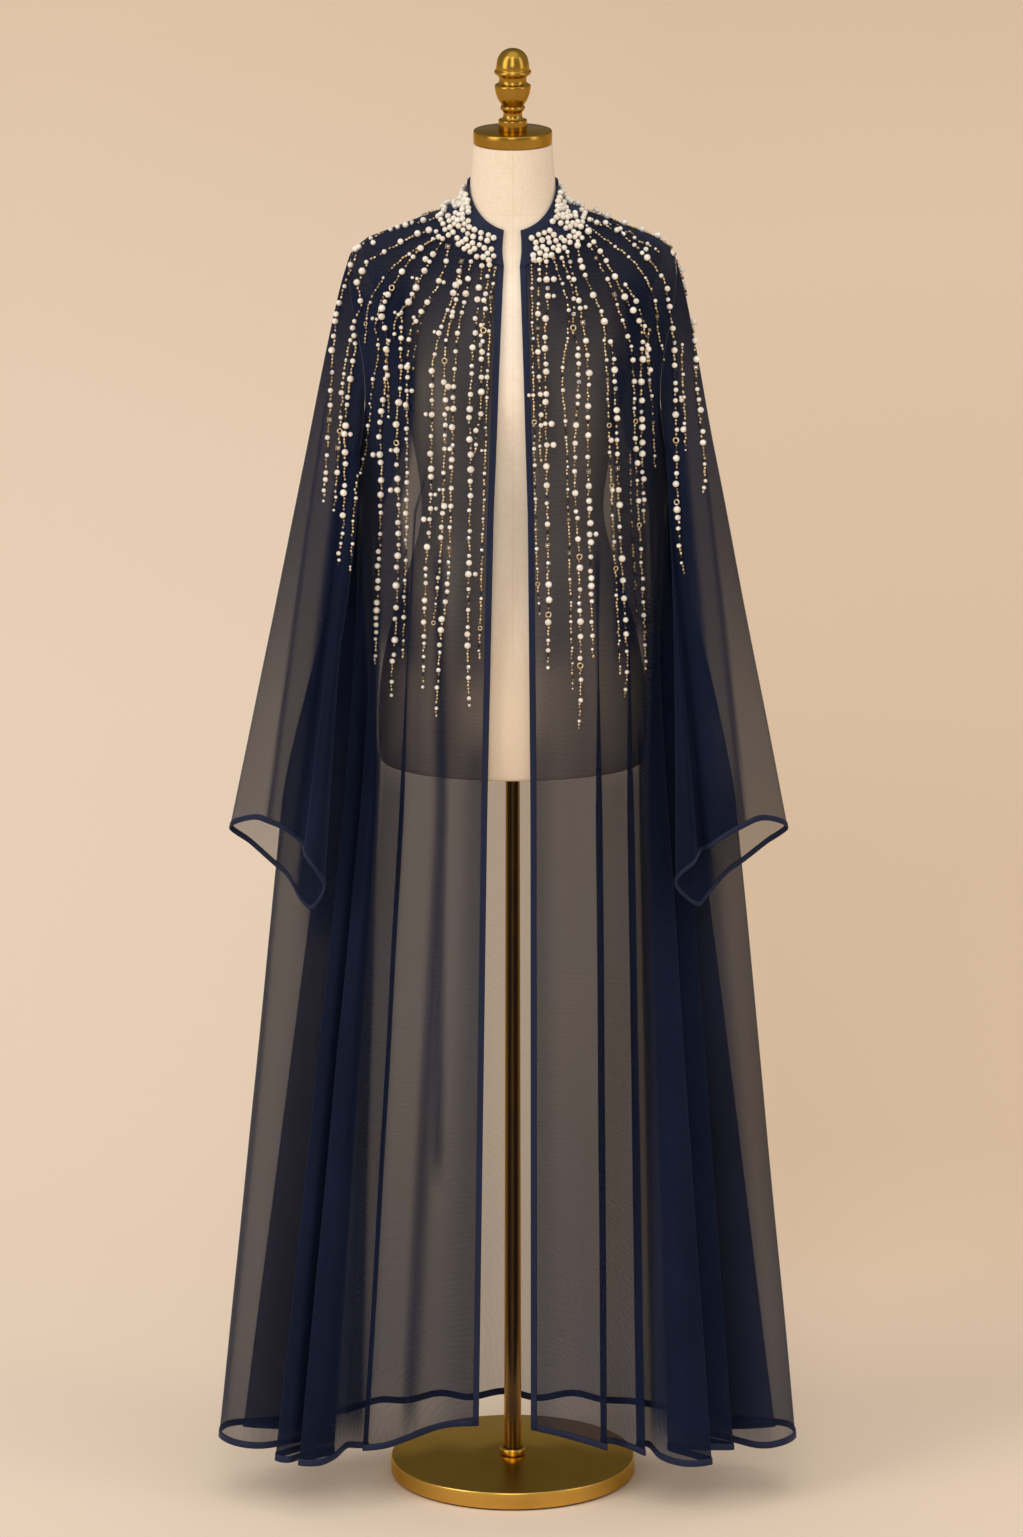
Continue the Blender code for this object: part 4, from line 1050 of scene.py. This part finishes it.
leftStrands = rowsOf(
    Strand,
    ("chain", [(21, 1454), (24, 1241), (27, 1113), (30, 1050)]),
    ("mixed", [(31, 1464), (28, 1388), (31, 1286), (30, 1248), (32, 1228)]),
    ("pearls", [(37, 1454), (39, 1411), (36, 1377), (36, 1320), (39, 1136), (40, 988)]),
    ("chain", [(45, 1458), (61, 1405), (60, 1365), (55, 1325), (60, 1240), (67, 963)]),
    ("pearls", [(54, 1458), (64, 1430), (68, 1405), (67, 1377), (73, 1343), (69, 1219), (74, 1106),
     (76, 992), (75, 915)]),
    ("pearls", [(61, 1465), (76, 1394), (83, 1331), (84, 1217), (90, 1002)]),
    ("pearls", [(71, 1472), (78, 1443), (88, 1421), (98, 1395), (103, 1368), (110, 1360), (113, 1320),
     (119, 1154), (128, 1009), (128, 979), (126, 952)]),
    ("chain", [(101, 1365), (105, 1325), (110, 1188), (121, 982)]),
    ("mixed", [(77, 1481), (88, 1466), (110, 1421), (126, 1373), (133, 1343), (138, 1205), (146, 1067),
     (149, 988)]),
    ("pearls", [(83, 1487), (97, 1465), (110, 1443), (129, 1404), (138, 1390), (143, 1374), (142, 1292),
     (146, 1157)]),
    ("chain", [(82, 1494), (128, 1460), (143, 1442), (153, 1423), (159, 1400), (161, 1377),
     (168, 1343)]),
    ("pearls", [(84, 1500), (117, 1487), (144, 1463), (164, 1439), (170, 1422), (180, 1340),
     (185, 1188), (189, 1125), (193, 1097)]),
    ("pearls", [(84, 1510), (117, 1500), (160, 1485), (173, 1476), (183, 1461), (191, 1435),
     (201, 1370), (205, 1306), (215, 1213), (213, 1189)]),
    ("chain", [(151, 1377), (149, 1343), (155, 1291), (158, 1220)]),
    ("chain", [(188, 1360), (193, 1237)]),
    ("ink", [(130, 1238), (134, 1126), (136, 1106), (139, 1038)]),
    ("mixed", [(124, 1428), (131, 1419), (136, 1410), (141, 1397), (146, 1385), (146, 1375),
     (149, 1363), (148, 1353), (151, 1342), (151, 1322), (152, 1309)]),
    ("mixed", [(87, 1500), (98, 1497), (115, 1495), (120, 1487), (131, 1486), (136, 1478), (145, 1475),
     (154, 1470), (164, 1464)]))
# the same on the back, seen from behind
backStrands = rowsOf(
    Strand,
    ("mixed", [(-78, 1493), (-104, 1478), (-128, 1450), (-142, 1400), (-148, 1330)]),
    ("pearls", [(-70, 1489), (-90, 1465), (-106, 1425), (-114, 1370), (-117, 1290)]),
    ("chain", [(-60, 1487), (-76, 1455), (-86, 1405), (-90, 1340), (-92, 1260)]),
    ("pearls", [(-50, 1486), (-60, 1450), (-66, 1390), (-69, 1310), (-71, 1205)]),
    ("mixed", [(-36, 1485), (-42, 1440), (-46, 1370), (-47, 1290), (-48, 1225)]),
    ("pearls", [(-22, 1484), (-25, 1430), (-27, 1350), (-27, 1260), (-28, 1160)]),
    ("chain", [(-7, 1484), (-8, 1420), (-8, 1340), (-9, 1250)]),
    ("pearls", [(8, 1484), (9, 1425), (10, 1345), (9, 1255), (10, 1180)]),
    ("mixed", [(23, 1484), (26, 1430), (29, 1350), (29, 1270), (30, 1210)]),
    ("pearls", [(37, 1485), (44, 1440), (48, 1370), (50, 1280), (51, 1170)]),
    ("chain", [(50, 1486), (61, 1448), (68, 1390), (70, 1310), (72, 1235)]),
    ("pearls", [(61, 1487), (77, 1455), (88, 1400), (92, 1330), (94, 1245)]),
    ("mixed", [(71, 1489), (91, 1464), (107, 1420), (115, 1360), (118, 1280)]),
    ("pearls", [(79, 1493), (105, 1477), (129, 1447), (143, 1395), (149, 1320)]))
beadMaterials = [pearl, goldSeed, bronzeSeed, inkSeed, crystal]
kinds = {"pearl": 0, "gold": 1, "bronze": 2, "ink": 3, "crystal": 4, "ring": 1, "square": 2}
cameraPlace = Vector((-0.0014, -10.28, 3.561))


def addBead(bm, kind, point, radius, facing, along=Vector((0, 0, 1))):
    side = along.cross(facing).normalized()
    turn = Matrix((side, facing.cross(side), facing)).transposed().to_4x4()
    place = Matrix.Translation(point) @ turn
    if kind == "pearl":
        made = bmesh.ops.create_uvsphere(bm, u_segments=8, v_segments=6, radius=radius,
                                         matrix=place)["verts"]
    elif kind in ("ring", "square"):
        upright = Matrix.Translation((radius, 0, 0)) @ Matrix.Rotation(math.pi / 2, 4, "X")
        made = bmesh.ops.create_circle(bm, segments=6, radius=radius * 0.3,
                                       matrix=upright)["verts"]
        edges = list({edge for vert in made for edge in vert.link_edges})
        bmesh.ops.spin(bm, geom=made + edges, cent=(0, 0, 0), axis=(0, 0, 1),
                       angle=2 * math.pi, steps=10 if kind == "ring" else 4, use_merge=True)
        whole, edge = set(made), list(made)
        while edge:
            reached = {other for vert in edge for link in vert.link_edges for other in link.verts}
            edge = list(reached - whole)
            whole |= reached
        made = list(whole)
        if kind == "square":
            place = place @ Matrix.Rotation(math.pi / 4, 4, "Z")
            addBead(bm, "crystal", point, radius * 0.5, facing, along)
        bmesh.ops.transform(bm, matrix=place, verts=made)
    else:
        length = 1.0 if kind == "crystal" else beadLook["seed length"]
        stretch = Matrix.Diagonal((1.0, length, 1.0, 1.0))
        made = bmesh.ops.create_icosphere(bm, subdivisions=1, radius=radius,
                                          matrix=place @ stretch)["verts"]
    for face in {face for vert in made for face in vert.link_faces}:
        face.material_index = kinds[kind]
        face.smooth = kind not in ("crystal", "square")


def clothTree():
    whole = bmesh.new()
    for piece in clothPieces:
        whole.from_mesh(piece.data)
    return BVHTree.FromBMesh(whole)


# the place on the cloth that shows at x and z, seen from the camera or from straight behind
def onCloth(tree, x, z, fromBack, last):
    if fromBack:
        start, way, side = Vector((x, 1.0, z)), Vector((0, -1, 0)), 1
    else:
        start, way, side = cameraPlace, (Vector((x, -0.1, z)) - cameraPlace).normalized(), -1
    hit, normal, _, _ = tree.ray_cast(start, way)
    if hit is None or hit.y * side < -beadLook["far layer"]:
        hit, normal, _, _ = tree.find_nearest(Vector((x, last.y if last else side * 0.05, z)))
    if normal.dot(way) > 0:
        normal = -normal
    return hit, normal


def strandPath(points):
    flat = [Vector(point) * 0.001 for point in points]
    line = smoothLine([flat[0]] + flat + [flat[-1]], 12)
    path = [line[0]]
    for point in line[1:]:
        steps = max(1, round((point - path[-1]).length / beadLook["step"]))
        start = path[-1]
        path += [start.lerp(point, step / steps) for step in range(1, steps + 1)]
    return path


def addStrand(whole, strand, tree, dice, fromBack):
    bm, lift, least = bmesh.new(), beadLook["lift"], beadLook["foot size"]
    rhythm, path = rhythms[strand.kind], strandPath(strand.points)
    step, seeds, last = 0, 0, None
    while step < len(path):
        left = 1.0 - step / len(path)
        shrink = least + (1.0 - least) * min(1.0, left / beadLook["taper"])
        aim = path[min(step + 3, len(path) - 1)] - path[max(step - 3, 0)]
        across = Vector((aim.y, -aim.x)).normalized()
        if seeds == 0:
            radius = dice.uniform(rhythm.small, rhythm.large) * shrink
            kind = "ink" if strand.kind == "ink" else "pearl"
            if dice.random() < rhythm.trim:
                kind = dice.choice(["ring", "square", "crystal"])
                smallest, largest = beadLook["trim radius"]
                radius = min(max(radius, smallest), largest)
            seeds = dice.randint(rhythm.fewest, rhythm.most)
        else:
            radius = dice.uniform(*beadLook["seed radius"])
            kind = "gold" if dice.random() < rhythm.gold else dice.choice(["bronze", "bronze", "ink"])
            seeds -= 1
        place = path[step] + across * dice.uniform(-beadLook["sway"], beadLook["sway"])
        hit, normal = onCloth(tree, place.x, place.y, fromBack, last)
        last = hit
        reached = Vector((aim.x, 0.0, aim.y)) - normal * (aim.x * normal.x + aim.y * normal.z)
        along = reached.normalized() if reached.length > 0.0001 else Vector((0, 0, -1))
        addBead(bm, kind, hit + normal * radius * lift, radius, normal, along)
        if kind == "pearl" and left > 0.3 and dice.random() < rhythm.beside:
            second = dice.uniform(rhythm.small, rhythm.large) * shrink * 0.9
            apart = radius + second + beadLook["pair gap"]
            spot = place + across * apart * dice.choice([-1, 1])
            hit, normal = onCloth(tree, spot.x, spot.y, fromBack, last)
            addBead(bm, kind, hit + normal * second * lift, second, normal)
        isSeed = kind in ("gold", "bronze", "ink")
        reach = beadLook["seed pitch"] if isSeed else radius + beadLook["seed pitch"] * 0.6
        step += max(1, round(reach / beadLook["step"]))
        if seeds == 0:
            step += round(rhythm.large * 0.75 / beadLook["step"])
    mesh = bpy.data.meshes.new("strand")
    bm.to_mesh(mesh)
    bm.free()
    whole.from_mesh(mesh)
    bpy.data.meshes.remove(mesh)


def buildCollarPearls(dice):
    bm, strip, wander = bmesh.new(), beadLook["plain strip"], beadLook["collar wander"]
    band = max((collarPlace(s, 1.0) - collarPlace(s, 0.0)).length for s in (0.0, 0.25, 0.5))
    for row in range(int(band / beadLook["collar row"]) + 1):
        rise = beadLook["first row"] + row * beadLook["collar row"]
        along = dice.uniform(0.0, 0.01)
        while along < 1.0:
            height = (collarPlace(along, 1.0) - collarPlace(along, 0.0)).length
            share = (rise + dice.uniform(-wander, wander)) / height
            here = collarPlace(along, share)
            ahead = collarPlace(min(along + 0.002, 1.0), share)
            behind = collarPlace(max(along - 0.002, 0.0), share)
            pace = (ahead - behind).length / 0.004
            fromEnd = min(along, 1.0 - along) * pace
            bare = strip + dice.uniform(-beadLook["end wander"], beadLook["end wander"])
            if (fromEnd > bare and height - rise > strip
                    and dice.random() > beadLook["left out"]):
                upward = collarPlace(along, min(share + 0.02, 1.0)) - collarPlace(along, share - 0.02)
                normal = upward.cross(ahead - behind).normalized()
                radius = dice.uniform(*beadLook["collar pearl"])
                lift = collar["wall"] * 0.5 + radius * dice.uniform(*beadLook["collar lift"])
                addBead(bm, "pearl", here + normal * lift, radius, normal)
            along += beadLook["collar pitch"] * dice.uniform(*beadLook["collar spread"]) / pace
    newPiece("collar_pearls", bm, beadMaterials, "pearled_collar", smooth=False)


def buildStrands():
    tree, dice = clothTree(), random.Random(27)
    buildCollarPearls(dice)
    for side, strands in (("right", rightStrands), ("left", leftStrands), ("back", backStrands)):
        whole = bmesh.new()
        for strand in strands:
            addStrand(whole, strand, tree, dice, side == "back")
        newPiece(side + "_bead_strings", whole, beadMaterials, "pearled_collar", smooth=False)


buildStrands()
print("beads sewn on")

# studio
studio = {
    "floor size": 60.0,
    "base light": 0.445,
    "tint": (1.0, 0.985, 0.96, 1.0),
    # compass direction from the front, half width, lowest and highest edge in degrees, strength
    "left window": (-58.0, 15.0, -4.0, 54.0, 2.6),
    "right window": (66.0, 9.0, -4.0, 46.0, 1.9),
    "front window": (-3.0, 9.0, 4.0, 58.0, 2.9),
    "side softness": 3.0,
    "head softness": 4.0,
    # direction, half angle and softness in degrees, strength
    "ceiling": ((0.0, -0.25, 1.0), 32.0, 14.0, 0.85),
    "dark far wall": ((0.0, 1.0, 0.26), 30.0, 24.0, -0.22),
    "lens": 218.6,
    "camera tilt": 75.2,
}


def buildStudio():
    bm = bmesh.new()
    bmesh.ops.create_grid(bm, x_segments=1, y_segments=1, size=studio["floor size"] / 2)
    newPiece("floor", bm, [makeFloor()], smooth=False)

    world = bpy.data.worlds.new("studio")
    world.use_nodes = True
    sky = Nodes(world.node_tree)
    way = sky.add("TexCoord").outputs["Generated"]
    x, y, z = sky.add("SeparateXYZ", {0: way}).outputs
    compass = sky.math("ARCTAN2", x, sky.times(y, -1.0))
    rise = sky.math("ARCSINE", z)

    def fade(value, degrees, softness, before, after):
        return sky.ramp(value, math.radians(degrees - softness), math.radians(degrees + softness),
                        before, after)

    light = studio["base light"]
    for name in ("left window", "right window", "front window"):
        turn, half, low, high, strength = studio[name]
        aside = sky.math("ABSOLUTE", sky.math("SUBTRACT", compass, math.radians(turn)))
        across = fade(aside, half, studio["side softness"], strength, 0.0)
        foot = fade(rise, low, studio["side softness"], 0.0, 1.0)
        head = fade(rise, high, studio["head softness"], 1.0, 0.0)
        light = sky.total(sky.times(sky.times(across, foot), head), light)
    for name in ("ceiling", "dark far wall"):
        aim, half, soft, strength = studio[name]
        facing = sky.add("VectorMath", {0: way, 1: Vector(aim).normalized()},
                         operation="DOT_PRODUCT").outputs[1]
        inner = math.cos(math.radians(half - soft * 0.5))
        outer = math.cos(math.radians(half + soft * 0.5))
        light = sky.total(sky.ramp(facing, outer, inner, 0.0, strength), light)
    shader = sky.tree.nodes["Background"]
    sky.give(shader, "Color", studio["tint"])
    sky.give(shader, "Strength", light)
    bpy.context.scene.world = world

    camera = bpy.data.objects.new("camera", bpy.data.cameras.new("camera"))
    camera.data.lens = studio["lens"]
    camera.data.clip_end = 200.0
    camera.location = cameraPlace
    camera.rotation_euler = (math.radians(studio["camera tilt"]), 0.0, 0.0)
    bpy.context.scene.collection.objects.link(camera)
    bpy.context.scene.camera = camera
    bpy.context.scene.view_settings.view_transform = "Standard"


buildStudio()
print("studio made")
